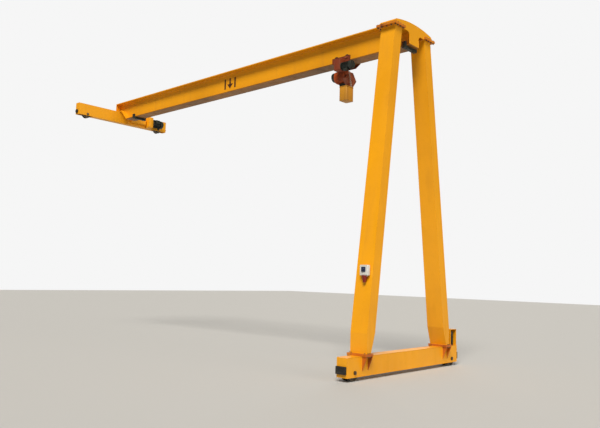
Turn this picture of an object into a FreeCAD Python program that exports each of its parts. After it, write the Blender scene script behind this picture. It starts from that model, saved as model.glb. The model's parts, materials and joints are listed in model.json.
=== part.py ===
import FreeCAD, Part
import Sketcher
import os

# Single-girder semi-gantry crane with a chain hoist.
# +X runs along the girder towards the legs, +Y along the rails, +Z up.
# The origin is on the floor rail's running surface, under the middle of the floor beam.

DIMENSIONS = [
    # floor carriage
    ("floor_tread", 240, "tread diameter of a floor wheel"),
    ("floor_base", 3000, "distance between the floor wheels"),
    ("floor_overhang", 200, "floor beam past a wheel's axle"),
    ("floor_width", 200, "width of the floor beam"),
    ("floor_height", 305, "height of the floor beam"),
    ("floor_rise", 50, "floor beam's underside above the rail"),
    ("floor_plate", 10, "plate thickness of the floor beam"),
    # upper carriage
    ("wall_centre", -9270, "X of the wall rail"),
    ("wall_tread", 170, "tread diameter of an upper wheel"),
    ("wall_base", 2240, "distance between the upper wheels"),
    ("wall_overhang", 255, "upper beam past a wheel's axle"),
    ("wall_width", 160, "width of the upper beam"),
    ("wall_height", 300, "height of the upper beam"),
    ("wall_rise", 45, "upper beam's underside above the wall rail"),
    ("wall_plate", 8, "plate thickness of the upper beam"),
    # wheels and their axles
    ("floor_wheel", 150, "overall width of a floor wheel"),
    ("wall_wheel", 110, "overall width of an upper wheel"),
    ("rim_width", 22, "width of a wheel's rim"),
    ("pocket", 60, "gap between a wheel's rim and the underside plate"),
    ("rim_rise", 15, "height of a rim above the tread"),
    ("axle", 60, "axle diameter"),
    ("axle_end", 18, "length of axle outside the beam"),
    ("running_gap", 0.08, "radial clearance of a wheel on its axle"),
    # end plates and buffers
    ("end_plate", 12, "thickness of an end plate"),
    ("floor_buffer_long", 40, "length of a floor buffer"),
    ("floor_buffer_tall", 120, "height of a floor buffer"),
    ("floor_buffer_wide", 190, "width of a floor buffer"),
    ("floor_buffer_level", 165, "middle of a floor buffer above the rail"),
    ("buffer_groove", 14, "radius of the groove across a floor buffer"),
    ("wall_buffer_long", 30, "length of an upper buffer"),
    ("wall_buffer", 100, "diameter of an upper buffer"),
    ("wall_buffer_level", 120, "middle of an upper buffer above the wall rail"),
    # legs
    ("joint_plate", 20, "thickness of a flange plate at a leg joint"),
    ("foot_length", 190, "length of a foot flange along Y"),
    ("foot_width", 384, "width of a foot flange along X"),
    ("foot_shift", 12.5, "middle of a foot flange outside the middle of its leg"),
    ("leg_outside", 1280, "Y of the leg's outer face at the foot"),
    ("leg_foot_thick", 105, "leg thickness along Y at the foot"),
    ("leg_thick", 210, "leg thickness along Y above the knee"),
    ("leg_foot_wide", 335, "leg width along X at the foot"),
    ("leg_top_wide", 300, "leg width along X at the top"),
    ("knee_level", 715, "height where the leg starts to lean"),
    ("leg_top", 5985, "height of the leg's top end"),
    ("leg_top_outside", 577, "Y of the leg's outer face at the top"),
    ("gusset", 10, "thickness of a foot gusset"),
    ("gusset_drop", 215, "depth of a foot gusset"),
    ("gusset_spread", 150, "distance between the two gussets of a foot"),
    # saddle over the leg tops
    ("saddle_flange_wide", 400, "width of a leg top flange along X"),
    ("flange_lip_in", 37, "leg top flange past the leg's inner face"),
    ("flange_lip_out", 83, "leg top flange past the leg's outer face"),
    ("saddle_lip", 23, "saddle past the leg's outer face"),
    ("saddle_wide", 330, "width of the saddle along X"),
    ("saddle_tall", 130, "height of the saddle above its flanges"),
    ("saddle_crown", 70, "rise of the saddle's arched top"),
    ("saddle_round", 50, "radius of the saddle's top corners"),
    ("tongue_half", 145, "half width of the front plate's tongue"),
    ("armpit_drop", 45, "depth of the front plate below the saddle box between the legs"),
    ("tongue_round", 80, "radius beside the tongue"),
    ("front_plate", 12, "thickness of the saddle's front plate"),
    # girder
    ("girder_rise", 220, "top of the girder above the saddle's underside"),
    ("girder_depth", 500, "depth of the girder"),
    ("girder_wide", 280, "width of the girder's flanges"),
    ("girder_flange", 20, "thickness of the girder's flanges"),
    ("girder_web", 10, "thickness of the girder's web"),
    ("girder_overhang", 70, "girder past the upper beam's outer side"),
    ("seat_rise", 260, "notch at the girder's wall end above its underside"),
    ("seat_plate", 20, "thickness of the seat plate on the upper beam"),
    ("seat_half", 190, "half length of the seat plate along Y"),
    ("haunch_run", 270, "length along X of the girder's sloping end"),
    ("haunch_gap", 20, "gap between the sloping end and the upper beam"),
    # trolley stops
    ("stop_bar_wide", 70, "width of a stop bar along X"),
    ("stop_bar_tall", 50, "height of a stop bar"),
    ("stop_overhang", 50, "stop bar past the flange's edge"),
    ("stop_rubber", 70, "height of a stop rubber above its bar"),
    ("stop_rubber_thick", 40, "thickness of a stop rubber along Y"),
    ("stop_leg_place", 70, "X of the stop at the leg end"),
    ("stop_setback", 790, "stop at the wall end from the wall rail"),
    # trolley
    ("trolley_place", -1380, "X of the middle of the trolley"),
    ("trolley_plate_long", 440, "length of a trolley side plate"),
    ("trolley_plate_top", 100, "top of a side plate above the bottom flange"),
    ("trolley_plate_drop", 70, "depth of a side plate below the bottom flange"),
    ("trolley_plate", 12, "thickness of a trolley side plate"),
    ("trolley_plate_skew", 110, "length cut off a side plate's lower corners along X"),
    ("trolley_gap", 15, "gap between the flange's edge and a side plate"),
    ("roller", 100, "tread diameter of a trolley wheel"),
    ("roller_wide", 42, "tread width of a trolley wheel"),
    ("roller_rim", 9, "thickness of a trolley wheel's rim"),
    ("roller_rim_rise", 10, "height of a trolley wheel's rim"),
    ("roller_base", 260, "distance between trolley wheels"),
    ("roller_lift", 0.5, "clearance of a trolley wheel above the flange"),
    ("roller_gap", 3, "gap between a trolley wheel's rim and the side plate"),
    ("roller_pin", 26, "pin diameter of a trolley wheel"),
    ("hanger_pin", 40, "diameter of the pin that carries the hoist"),
    ("hanger_drop", 40, "depth of the hanger pin below the girder"),
    ("lug_wall", 12, "hoist's lug above its pin"),
    ("travel_motor", 160, "diameter of the travel motor"),
    ("travel_motor_long", 250, "length of the travel motor"),
    ("travel_gear_long", 150, "length of the travel gear case"),
    ("travel_gear_tall", 240, "height of the travel gear case"),
    ("travel_gear_shift", 30, "travel gear case from the trolley's middle"),
    ("travel_level", 135, "travel motor's axis below the girder"),
    # hoist
    ("hoist_top_drop", 135, "hoist housing's top below the girder"),
    ("housing_long", 260, "length of the hoist housing"),
    ("housing_tall", 235, "height of the hoist housing"),
    ("housing_wide", 250, "width of the hoist housing"),
    ("housing_round", 95, "corner radius of the hoist housing"),
    ("housing_shift", -80, "hoist housing from the trolley's middle"),
    ("end_cover", 180, "diameter of the hoist's brake cover"),
    ("end_cover_long", 95, "length of the hoist's brake cover"),
    ("gear_case_long", 90, "length of the hoist's gear case"),
    ("gear_case_half", 168, "half width of the hoist's gear case"),
    ("gear_case_tall", 290, "height of the hoist's gear case"),
    ("gear_case_flat", 60, "half width of the gear case's top and bottom"),
    ("gear_case_sink", 55, "gear case's top below the housing's top"),
    ("guide_wide", 190, "width of the chain guide at its top"),
    ("guide_foot", 120, "width of the chain guide at its bottom"),
    ("guide_drop", 125, "depth of the chain guide"),
    # hook block
    ("hook_shift", 20, "load hook from the housing's middle"),
    ("hook_travel_gap", 20, "chain seen between the guide and the hook block"),
    ("block_wide", 90, "width of the hook block"),
    ("block_tall", 90, "height of the hook block"),
    ("block_thick", 60, "thickness of the hook block"),
    ("hook_bar", 24, "thickness of the hook's bar"),
    ("hook_bowl", 34, "radius of the hook's bowl to the bar's middle"),
    ("chain_wire", 9, "wire diameter of the load chain"),
    ("chain_spread", 40, "distance between the two falls of chain"),
    # chain container
    ("bin_long", 180, "length of the chain container along X"),
    ("bin_wide", 220, "width of the chain container along Y"),
    ("bin_tall", 280, "height of the chain container"),
    ("bin_wall", 5, "wall thickness of the chain container"),
    ("bin_shift", 27, "chain container from the middle of the hoist's gear case"),
    ("bin_side", -135, "Y of the middle of the chain container"),
    ("bin_gap", 35, "gap between the hoist's gear case and the chain container"),
    ("bin_hanger", 10, "thickness of the bar that holds the chain container"),
    ("bin_hanger_wide", 70, "width of the bar that holds the chain container"),
    ("bin_grip", 110, "length of that bar along the chain container's side"),
    # travel drives
    ("guard_long", 210, "length of the floor drive's guard along Y"),
    ("guard_wide", 190, "width of the floor drive's guard along X"),
    ("guard_tall", 305, "height of the floor drive's guard"),
    ("guard_wall", 5, "wall thickness of the floor drive's guard"),
    ("guard_setback", 12, "floor drive's guard from the beam's end"),
    ("drive_motor", 150, "diameter of the floor drive's motor"),
    ("drive_headroom", 40, "gap between the floor drive's motor and its guard's top"),
    ("wall_gear_place", 735, "Y of the upper drive's gear case"),
    ("wall_gear_long", 200, "depth of the upper gear case along X"),
    ("wall_gear_wide", 130, "width of the upper gear case along Y"),
    ("wall_motor", 230, "diameter of the upper travel motor"),
    ("wall_motor_long", 340, "length of the upper travel motor"),
    ("wall_box_long", 480, "length of the upper terminal box along Y"),
    ("wall_motor_reach", 120, "upper motor's axis from the beam's face"),
    ("wall_box_tall", 160, "height of the upper terminal box"),
    ("wall_box_deep", 90, "depth of the upper terminal box"),
    ("wall_box_place", 400, "Y of the middle of the upper terminal box"),
    # switch box on the near leg
    ("switch_place", 40, "X of the middle of the switch box"),
    ("switch_wide", 160, "width of the switch box"),
    ("switch_tall", 170, "height of the switch box"),
    ("switch_deep", 70, "depth of the switch box"),
    ("switch_level", 1710, "height of the middle of the switch box"),
    ("switch_bracket", 30, "depth of the bracket behind the top of the switch box"),
    ("bracket_wide", 100, "width of the bracket behind the switch box"),
    ("isolator", 80, "side of the isolator's plate"),
    ("isolator_lift", 14, "middle of the isolator's plate above the middle of the box"),
    ("isolator_deep", 14, "thickness of the isolator's plate"),
    ("beacon_top", 90, "diameter of the beacon at its top"),
    ("beacon_foot", 50, "diameter of the beacon at its bottom"),
    ("beacon_tall", 110, "height of the beacon"),
    ("beacon_gap", 4, "gap between the beacon and the leg"),
]

doc = FreeCAD.newDocument("semi_gantry_crane")
sheet = doc.addObject("Spreadsheet::Sheet", "dim")
for row, (alias, value, meaning) in enumerate(DIMENSIONS, start=1):
    sheet.set("A%d" % row, alias)
    sheet.set("B%d" % row, str(value))
    sheet.setAlias("B%d" % row, alias)
    sheet.set("C%d" % row, meaning)
doc.recompute()

nodes = []


def dim(alias):
    """One driving dimension as a number."""
    return float(sheet.get(alias))


def solve(formula):
    """A formula over the sheet's cells as a number."""
    return float(sheet.evalExpression(formula))


def bind(piece, **formulas):
    """Tie properties of a piece to formulas over the sheet."""
    for name, formula in formulas.items():
        piece.setExpression(name, formula)


def place(piece, x="0", y="0", z="0"):
    """Tie the piece's position to formulas over the sheet."""
    for axis, formula in zip("xyz", (x, y, z)):
        piece.setExpression("Placement.Base." + axis, formula)


def block(name, size, middle):
    """A box by its three sizes and the formulas of its middle."""
    piece = doc.addObject("Part::Box", name)
    bind(piece, Length=size[0], Width=size[1], Height=size[2])
    place(piece, *["(%s) - (%s) / 2" % (m, s) for m, s in zip(middle, size)])
    return piece


def bar(name, diameter, length, axis, start):
    """A round bar that runs from its start along +X, +Y or +Z."""
    piece = doc.addObject("Part::Cylinder", name)
    bind(piece, Radius="(%s) / 2" % diameter, Height=length)
    turn = {
        "x": FreeCAD.Rotation(FreeCAD.Vector(0, 1, 0), 90),
        "y": FreeCAD.Rotation(FreeCAD.Vector(1, 0, 0), -90),
        "z": FreeCAD.Rotation(),
    }[axis]
    piece.Placement = FreeCAD.Placement(FreeCAD.Vector(), turn)
    place(piece, *start)
    return piece


def join(name, pieces):
    """One object from several pieces."""
    piece = doc.addObject("Part::MultiFuse", name)
    piece.Shapes = pieces
    return piece


def cut(name, base, tool):
    """The base without the tool."""
    piece = doc.addObject("Part::Cut", name)
    piece.Base = base
    piece.Tool = tool
    return piece


def node(label, piece):
    """Mark a finished sub-part, whose label names its file."""
    piece.Label = label
    nodes.append(piece)
    return piece


def origin_plane(body, role):
    """One of the body's own origin planes."""
    return next(f for f in body.Origin.OriginFeatures if f.Role == role)


def outline(body, name, role, points, offset="0", arch=None):
    """A closed outline whose corners are tied to formulas over the sheet.

    arch = (side, middle, radius) bends that side into an arc through the middle."""
    sketch = body.newObject("Sketcher::SketchObject", name)
    sketch.AttachmentSupport = [(origin_plane(body, role), "")]
    sketch.MapMode = "FlatFace"
    sketch.setExpression("AttachmentOffset.Base.z", offset)
    at = [FreeCAD.Vector(solve(u), solve(v), 0) for u, v in points]
    count = len(at)
    starts = [1] * count
    ends = [2] * count
    for i in range(count):
        if arch and arch[0] == i:
            middle = FreeCAD.Vector(solve(arch[1][0]), solve(arch[1][1]), 0)
            sketch.addGeometry(Part.Arc(at[i], middle, at[(i + 1) % count]), False)
            drawn = sketch.Geometry[i]
            if (drawn.StartPoint - at[i]).Length > 1e-6:
                starts[i], ends[i] = 2, 1
        else:
            sketch.addGeometry(Part.LineSegment(at[i], at[(i + 1) % count]), False)
    for i in range(count):
        after = (i + 1) % count
        sketch.addConstraint(Sketcher.Constraint("Coincident", i, ends[i], after, starts[after]))
    for i, (u, v) in enumerate(points):
        for kind, formula in (("DistanceX", u), ("DistanceY", v)):
            rule = Sketcher.Constraint(kind, -1, 1, i, starts[i], solve(formula))
            sketch.setExpression("Constraints[%d]" % sketch.addConstraint(rule), formula)
    if arch:
        rule = Sketcher.Constraint("Radius", arch[0], solve(arch[2]))
        sketch.setExpression("Constraints[%d]" % sketch.addConstraint(rule), arch[2])
    return sketch


def plate(name, role, points, thickness, offset="0", arch=None):
    """A flat piece: a polygon given a thickness, half to each side of its plane."""
    body = doc.addObject("PartDesign::Body", name)
    sketch = outline(body, name + "_outline", role, points, offset, arch)
    pad = body.newObject("PartDesign::Pad", name + "_pad")
    pad.Profile = sketch
    bind(pad, Length=thickness)
    pad.SideType = "Symmetric"
    doc.recompute()
    return body


def round_edges(body, name, radius, chosen):
    """Round the edges of a body's tip that the chosen test picks."""
    base = body.Tip
    picked = [
        "Edge%d" % (i + 1)
        for i, edge in enumerate(base.Shape.Edges)
        if chosen(edge.CenterOfMass, edge.tangentAt(edge.FirstParameter))
    ]
    fillet = body.newObject("PartDesign::Fillet", name)
    fillet.Base = (base, picked)
    bind(fillet, Radius=radius)
    doc.recompute()
    return fillet


SIDES = (("near", -1), ("far", 1))

# ---- levels and places that several pieces share

beam_top = "(dim.floor_rise + dim.floor_height)"
floor_length = "(dim.floor_base + 2 * dim.floor_overhang)"
wall_length = "(dim.wall_base + 2 * dim.wall_overhang)"
foot_centre = "(dim.leg_outside - dim.leg_foot_thick / 2 + dim.foot_shift)"
flange_in = "(dim.leg_top_outside - dim.leg_thick - dim.flange_lip_in)"
flange_out = "(dim.leg_top_outside + dim.flange_lip_out)"
saddle_half = "(dim.leg_top_outside + dim.saddle_lip)"
saddle_low = "(dim.leg_top + 2 * dim.joint_plate)"
girder_top = "(%s + dim.girder_rise)" % saddle_low
girder_low = "(%s - dim.girder_depth)" % girder_top
flange_top = "(%s + dim.girder_flange)" % girder_low
seat_level = "(%s + dim.seat_rise)" % girder_low
wall_rail = "(%s - dim.seat_plate - dim.wall_height - dim.wall_rise)" % seat_level
housing_x = "(dim.trolley_place + dim.housing_shift)"
hook_x = "(%s + dim.hook_shift)" % housing_x


# ---- both carriages: hollow beams that carry their wheels inside

def carriage(label, prefix, centre, rail, length):
    """A welded box beam along Y with end plates, axles and two wheels."""
    width = "dim.%s_width" % prefix
    height = "dim.%s_height" % prefix
    wall = "dim.%s_plate" % prefix
    tread = "dim.%s_tread" % prefix
    base = "dim.%s_base" % prefix
    bottom = "(%s) + dim.%s_rise" % (rail, prefix)
    axle_level = "(%s) + %s / 2" % (rail, tread)
    body_length = "(%s - 2 * dim.end_plate)" % length

    axles = []
    for side, sign in SIDES:
        middle = "%d * %s / 2" % (sign, base)
        axle_length = "(%s + 2 * dim.axle_end)" % width
        start = ("(%s) - %s / 2" % (centre, axle_length), middle, axle_level)
        axles.append(bar("%s_axle_%s" % (label, side), "dim.axle", axle_length, "x", start))
    node(label + "_axles", join(label + "_axle_pair", axles))

    webs = []
    for side, sign in (("outer", 1), ("inner", -1)):
        x = "(%s) + %d * (%s - %s) / 2" % (centre, sign, width, wall)
        z = "(%s) + %s / 2" % (bottom, height)
        solid = block("%s_web_%s" % (label, side), (wall, body_length, height), (x, "0", z))
        holes = []
        for end, way in SIDES:
            start = ("(%s) - %s" % (x, wall), "%d * %s / 2" % (way, base), axle_level)
            name = "%s_hole_%s_%s" % (label, side, end)
            holes.append(bar(name, "dim.axle", "2 * " + wall, "x", start))
        pair = join("%s_holes_%s" % (label, side), holes)
        webs.append(cut("%s_bored_web_%s" % (label, side), solid, pair))
    node(label + "_beam_webs", join(label + "_web_pair", webs))

    inside = "(%s - 2 * %s)" % (width, wall)
    top = "(%s) + %s - %s / 2" % (bottom, height, wall)
    lid = block(label + "_lid", (inside, body_length, wall), (centre, "0", top))
    between = "(%s - %s - 2 * dim.rim_rise - 2 * dim.pocket)" % (base, tread)
    low = "(%s) + %s / 2" % (bottom, wall)
    floor = block(label + "_floor", (inside, between, wall), (centre, "0", low))
    node(label + "_beam_plates", join(label + "_plate_pair", [lid, floor]))

    for side, sign in SIDES:
        y = "%d * %s / 2" % (sign, base)
        name = "%s_%s" % (label, side)
        place_at = (centre, y, axle_level)
        node("%s_wheel_%s" % (label, side), wheel(name, tread, "dim.%s_wheel" % prefix, place_at))


def wheel(name, tread, wide, middle):
    """A double-rimmed wheel with a running fit on its axle."""
    x, y, z = middle
    start = ("(%s) - %s / 2" % (x, wide), y, z)
    far = ("(%s) + %s / 2 - dim.rim_width" % (x, wide), y, z)
    rim = "(%s + 2 * dim.rim_rise)" % tread
    core = bar(name + "_core", tread, wide, "x", start)
    rims = [
        bar(name + "_rim_inner", rim, "dim.rim_width", "x", start),
        bar(name + "_rim_outer", rim, "dim.rim_width", "x", far),
    ]
    solid = join(name + "_blank", [core] + rims)
    hole = bar(name + "_bore", "(dim.axle + 2 * dim.running_gap)", wide, "x", start)
    return cut(name + "_bored", solid, hole)


carriage("floor", "floor", "0", "0", floor_length)
carriage("upper", "wall", "dim.wall_centre", wall_rail, wall_length)

# end plates, which close the beams' ends
floor_ends = []
upper_ends = []
for side, sign in SIDES:
    y = "%d * (%s - dim.end_plate) / 2" % (sign, floor_length)
    z = "dim.floor_rise + dim.floor_height / 2"
    size = ("dim.floor_width", "dim.end_plate", "dim.floor_height")
    floor_ends.append(block("floor_end_" + side, size, ("0", y, z)))
    y = "%d * (%s - dim.end_plate) / 2" % (sign, wall_length)
    z = wall_rail + " + dim.wall_rise + dim.wall_height / 2"
    size = ("dim.wall_width", "dim.end_plate", "dim.wall_height")
    upper_ends.append(block("upper_end_" + side, size, ("dim.wall_centre", y, z)))
node("floor_end_plates", join("floor_end_pair", floor_ends))
node("upper_end_plates", join("upper_end_pair", upper_ends))

# buffers on the end plates
floor_rubbers = []
upper_rubbers = []
for side, sign in SIDES:
    y = "%d * (%s + dim.floor_buffer_long) / 2" % (sign, floor_length)
    size = ("dim.floor_buffer_wide", "dim.floor_buffer_long", "dim.floor_buffer_tall")
    rubber = block("floor_buffer_block_" + side, size, ("0", y, "dim.floor_buffer_level"))
    tip = "%d * (%s / 2 + dim.floor_buffer_long)" % (sign, floor_length)
    start = ("-dim.floor_width", tip, "dim.floor_buffer_level")
    groove = bar("floor_buffer_groove_" + side, "2 * dim.buffer_groove", "2 * dim.floor_width", "x", start)
    floor_rubbers.append(cut("floor_buffer_" + side, rubber, groove))
    y = wall_length + " / 2" if sign > 0 else "-%s / 2 - dim.wall_buffer_long" % wall_length
    start = ("dim.wall_centre", y, wall_rail + " + dim.wall_buffer_level")
    name = "upper_buffer_" + side
    upper_rubbers.append(bar(name, "dim.wall_buffer", "dim.wall_buffer_long", "y", start))
node("floor_buffers", join("floor_buffer_pair", floor_rubbers))
node("upper_buffers", join("upper_buffer_pair", upper_rubbers))

# ---- legs on their foot flanges

foot_top = "(%s + 2 * dim.joint_plate)" % beam_top
foot_brackets = []
upper_flanges = []
for side, sign in SIDES:
    y = "%d * %s" % (sign, foot_centre)
    size = ("dim.foot_width", "dim.foot_length", "dim.joint_plate")
    level = beam_top + " + dim.joint_plate / 2"
    foot_brackets.append(block("foot_lower_" + side, size, ("0", y, level)))
    level = beam_top + " + 3 * dim.joint_plate / 2"
    upper_flanges.append(block("foot_upper_" + side, size, ("0", y, level)))
    for x_sign in (-1, 1):
        for y_sign in (-1, 1):
            offset = "-(%s + %d * dim.gusset_spread / 2)" % (y, y_sign)
            root = "%d * dim.floor_width / 2" % x_sign
            tip = "%d * dim.foot_width / 2" % x_sign
            heel = "%d * (dim.floor_width / 2 + dim.gusset)" % x_sign
            points = [
                (root, beam_top),
                (tip, beam_top),
                (tip, beam_top + " - 2 * dim.gusset"),
                (heel, beam_top + " - dim.gusset_drop"),
                (root, beam_top + " - dim.gusset_drop"),
            ]
            name = "gusset_%s_%d_%d" % (side, x_sign + 1, y_sign + 1)
            foot_brackets.append(plate(name, "XZ_Plane", points, "dim.gusset", offset))
node("foot_brackets", join("foot_bracket_pair", foot_brackets))
node("leg_foot_flanges", join("foot_upper_pair", upper_flanges))


def leg(side, sign):
    """A box leg: an upright foot that widens to the knee, then leans inwards and tapers."""
    body = doc.addObject("PartDesign::Body", "leg_body_" + side)
    sections = (
        (foot_top, "dim.leg_foot_wide", "dim.leg_outside", "dim.leg_foot_thick"),
        ("dim.knee_level", "dim.leg_foot_wide", "dim.leg_outside", "dim.leg_thick"),
        ("dim.leg_top", "dim.leg_top_wide", "dim.leg_top_outside", "dim.leg_thick"),
    )
    rings = []
    for number, (level, wide, outside, thick) in enumerate(sections):
        outer = "%d * %s" % (sign, outside)
        inner = "%d * (%s - %s)" % (sign, outside, thick)
        corners = [
            ("-%s / 2" % wide, inner),
            ("%s / 2" % wide, inner),
            ("%s / 2" % wide, outer),
            ("-%s / 2" % wide, outer),
        ]
        rings.append(outline(body, "leg_ring_%s_%d" % (side, number), "XY_Plane", corners, level))
    doc.recompute()
    loft = body.newObject("PartDesign::AdditiveLoft", "leg_loft_" + side)
    loft.Profile = rings[0]
    loft.Sections = rings[1:]
    loft.Ruled = True
    doc.recompute()
    return body


for side, sign in SIDES:
    node("leg_" + side, leg(side, sign))

# ---- saddle that joins the leg tops

leg_flanges = []
saddle_flanges = []
for side, sign in SIDES:
    deep = "(%s - %s)" % (flange_out, flange_in)
    y = "%d * (%s + %s) / 2" % (sign, flange_out, flange_in)
    size = ("dim.saddle_flange_wide", deep, "dim.joint_plate")
    level = "dim.leg_top + dim.joint_plate / 2"
    leg_flanges.append(block("leg_flange_" + side, size, ("0", y, level)))
    level = "dim.leg_top + 3 * dim.joint_plate / 2"
    saddle_flanges.append(block("saddle_flange_" + side, size, ("0", y, level)))
node("leg_top_flanges", join("leg_flange_pair", leg_flanges))
node("saddle_flanges", join("saddle_flange_pair", saddle_flanges))

saddle_high = "(%s + dim.saddle_tall)" % saddle_low
shoulder = "(%s - dim.saddle_crown)" % saddle_high
crown_radius = "(%s ^ 2 + dim.saddle_crown ^ 2) / (2 * dim.saddle_crown)" % saddle_half
front_x = "(dim.saddle_wide / 2 - dim.front_plate)"
armpit = "(%s - dim.armpit_drop)" % saddle_low


def is_shoulder(at, way):
    """The long edges where the arched top meets the saddle's ends."""
    return abs(way.x) > 0.9 and abs(at.z - solve(shoulder)) < 1


box_points = [
    ("-" + saddle_half, saddle_low),
    (saddle_half, saddle_low),
    (saddle_half, shoulder),
    ("-" + saddle_half, shoulder),
]
box_arch = (2, ("0", saddle_high), crown_radius)
saddle_depth = "dim.saddle_wide - dim.front_plate"
saddle = plate("saddle_box_body", "YZ_Plane", box_points, saddle_depth, "-dim.front_plate / 2", box_arch)
round_edges(saddle, "saddle_corners", "dim.saddle_round", is_shoulder)
node("saddle_box", saddle)

face_points = [
    ("-" + saddle_half, saddle_low),
    ("-" + flange_in, saddle_low),
    ("-" + flange_in, armpit),
    ("-dim.tongue_half", armpit),
    ("-dim.tongue_half", flange_top),
    ("dim.tongue_half", flange_top),
    ("dim.tongue_half", armpit),
    (flange_in, armpit),
    (flange_in, saddle_low),
    (saddle_half, saddle_low),
    (saddle_half, shoulder),
    ("-" + saddle_half, shoulder),
]
face_arch = (10, ("0", saddle_high), crown_radius)
front_middle = "%s + dim.front_plate / 2" % front_x
face = plate("saddle_face_body", "YZ_Plane", face_points, "dim.front_plate", front_middle, face_arch)
round_edges(face, "face_corners", "dim.saddle_round", is_shoulder)
round_edges(
    face,
    "face_armpits",
    "dim.tongue_round",
    lambda at, way: abs(way.x) > 0.9
    and abs(at.z - solve(armpit)) < 1
    and abs(abs(at.y) - dim("tongue_half")) < 1,
)
node("saddle_front_plate", face)

# ---- girder: an H-section that is notched to seat on the upper beam

wall_in = "(dim.wall_centre + dim.wall_width / 2)"
girder_end = "(dim.wall_centre - dim.wall_width / 2 - dim.girder_overhang)"
joint_x = "(-dim.saddle_wide / 2)"
seat_inner = "(%s + dim.haunch_gap)" % wall_in
haunch_foot = "(%s + dim.haunch_run)" % seat_inner
upper_edge = "(%s - dim.girder_flange)" % girder_top

web_points = [
    (girder_end, seat_level + " + dim.girder_flange"),
    (seat_inner, seat_level + " + dim.girder_flange"),
    (haunch_foot, flange_top),
    (front_x, flange_top),
    (front_x, saddle_low),
    (joint_x, saddle_low),
    (joint_x, upper_edge),
    (girder_end, upper_edge),
]
node("girder_web", plate("girder_web_body", "XZ_Plane", web_points, "dim.girder_web"))

top_long = "(%s - %s)" % (joint_x, girder_end)
top_middle = "(%s + %s) / 2" % (joint_x, girder_end)
node(
    "girder_top_flange",
    block(
        "girder_top_slab",
        (top_long, "dim.girder_wide", "dim.girder_flange"),
        (top_middle, "0", girder_top + " - dim.girder_flange / 2"),
    ),
)
stem_end = "(dim.saddle_wide / 2)"
low_long = "(%s - %s)" % (stem_end, haunch_foot)
low_middle = "(%s + %s) / 2" % (stem_end, haunch_foot)
node(
    "girder_bottom_flange",
    block(
        "girder_bottom_slab",
        (low_long, "dim.girder_wide", "dim.girder_flange"),
        (low_middle, "0", girder_low + " + dim.girder_flange / 2"),
    ),
)
haunch_points = [
    (haunch_foot, girder_low),
    (haunch_foot, flange_top),
    (seat_inner, seat_level + " + dim.girder_flange"),
    (seat_inner, seat_level),
]
node("girder_haunch", plate("girder_haunch_body", "XZ_Plane", haunch_points, "dim.girder_wide"))
seat_long = "(%s - %s)" % (seat_inner, girder_end)
seat_middle = "(%s + %s) / 2" % (seat_inner, girder_end)
node(
    "girder_seat_flange",
    block(
        "girder_seat_slab",
        (seat_long, "dim.girder_wide", "dim.girder_flange"),
        (seat_middle, "0", seat_level + " + dim.girder_flange / 2"),
    ),
)
end_tall = "(%s - %s)" % (girder_top, seat_level)
node(
    "girder_end_plate",
    block(
        "girder_end_slab",
        ("dim.front_plate", "dim.girder_wide", end_tall),
        (girder_end + " - dim.front_plate / 2", "0", "%s - %s / 2" % (girder_top, end_tall)),
    ),
)
node(
    "upper_seat_plate",
    block(
        "upper_seat_slab",
        ("dim.wall_width + 2 * dim.haunch_gap", "2 * dim.seat_half", "dim.seat_plate"),
        ("dim.wall_centre", "0", seat_level + " - dim.seat_plate / 2"),
    ),
)

# ---- trolley stops: a bar under the flange with a rubber at each end
stop_half = "(dim.girder_wide / 2 + dim.stop_overhang)"
stop_bars = []
stop_rubbers = []
stops = (("leg", "dim.stop_leg_place"), ("wall", "dim.wall_centre + dim.stop_setback"))
for label, centre in stops:
    size = ("dim.stop_bar_wide", "2 * " + stop_half, "dim.stop_bar_tall")
    level = girder_low + " - dim.stop_bar_tall / 2"
    stop_bars.append(block("stop_bar_" + label, size, (centre, "0", level)))
    for side, sign in SIDES:
        y = "%d * (%s - dim.stop_rubber_thick / 2)" % (sign, stop_half)
        size = ("dim.stop_bar_wide", "dim.stop_rubber_thick", "dim.stop_rubber")
        level = girder_low + " + dim.stop_rubber / 2"
        stop_rubbers.append(block("stop_rubber_%s_%s" % (label, side), size, (centre, y, level)))
node("trolley_stop_bars", join("stop_bar_pair", stop_bars))
node("trolley_stop_rubbers", join("stop_rubber_set", stop_rubbers))

# ---- trolley: two side plates, four wheels on the bottom flange and a travel drive

plate_y = "(dim.girder_wide / 2 + dim.trolley_gap + dim.trolley_plate / 2)"
slab_front = "(dim.trolley_place + dim.trolley_plate_long / 2)"
slab_rear = "(dim.trolley_place - dim.trolley_plate_long / 2)"
slab_top = "(%s + dim.trolley_plate_top)" % girder_low
slab_low = "(%s - dim.trolley_plate_drop)" % girder_low
slab_points = [
    (slab_rear, slab_top),
    (slab_rear, girder_low),
    (slab_rear + " + dim.trolley_plate_skew", slab_low),
    (slab_front + " - dim.trolley_plate_skew", slab_low),
    (slab_front, girder_low),
    (slab_front, slab_top),
]
roller_level = "(%s + dim.roller / 2 + dim.roller_lift)" % flange_top
hanger_level = "(%s - dim.hanger_drop)" % girder_low
plate_inner = "(dim.girder_wide / 2 + dim.trolley_gap)"

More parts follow.
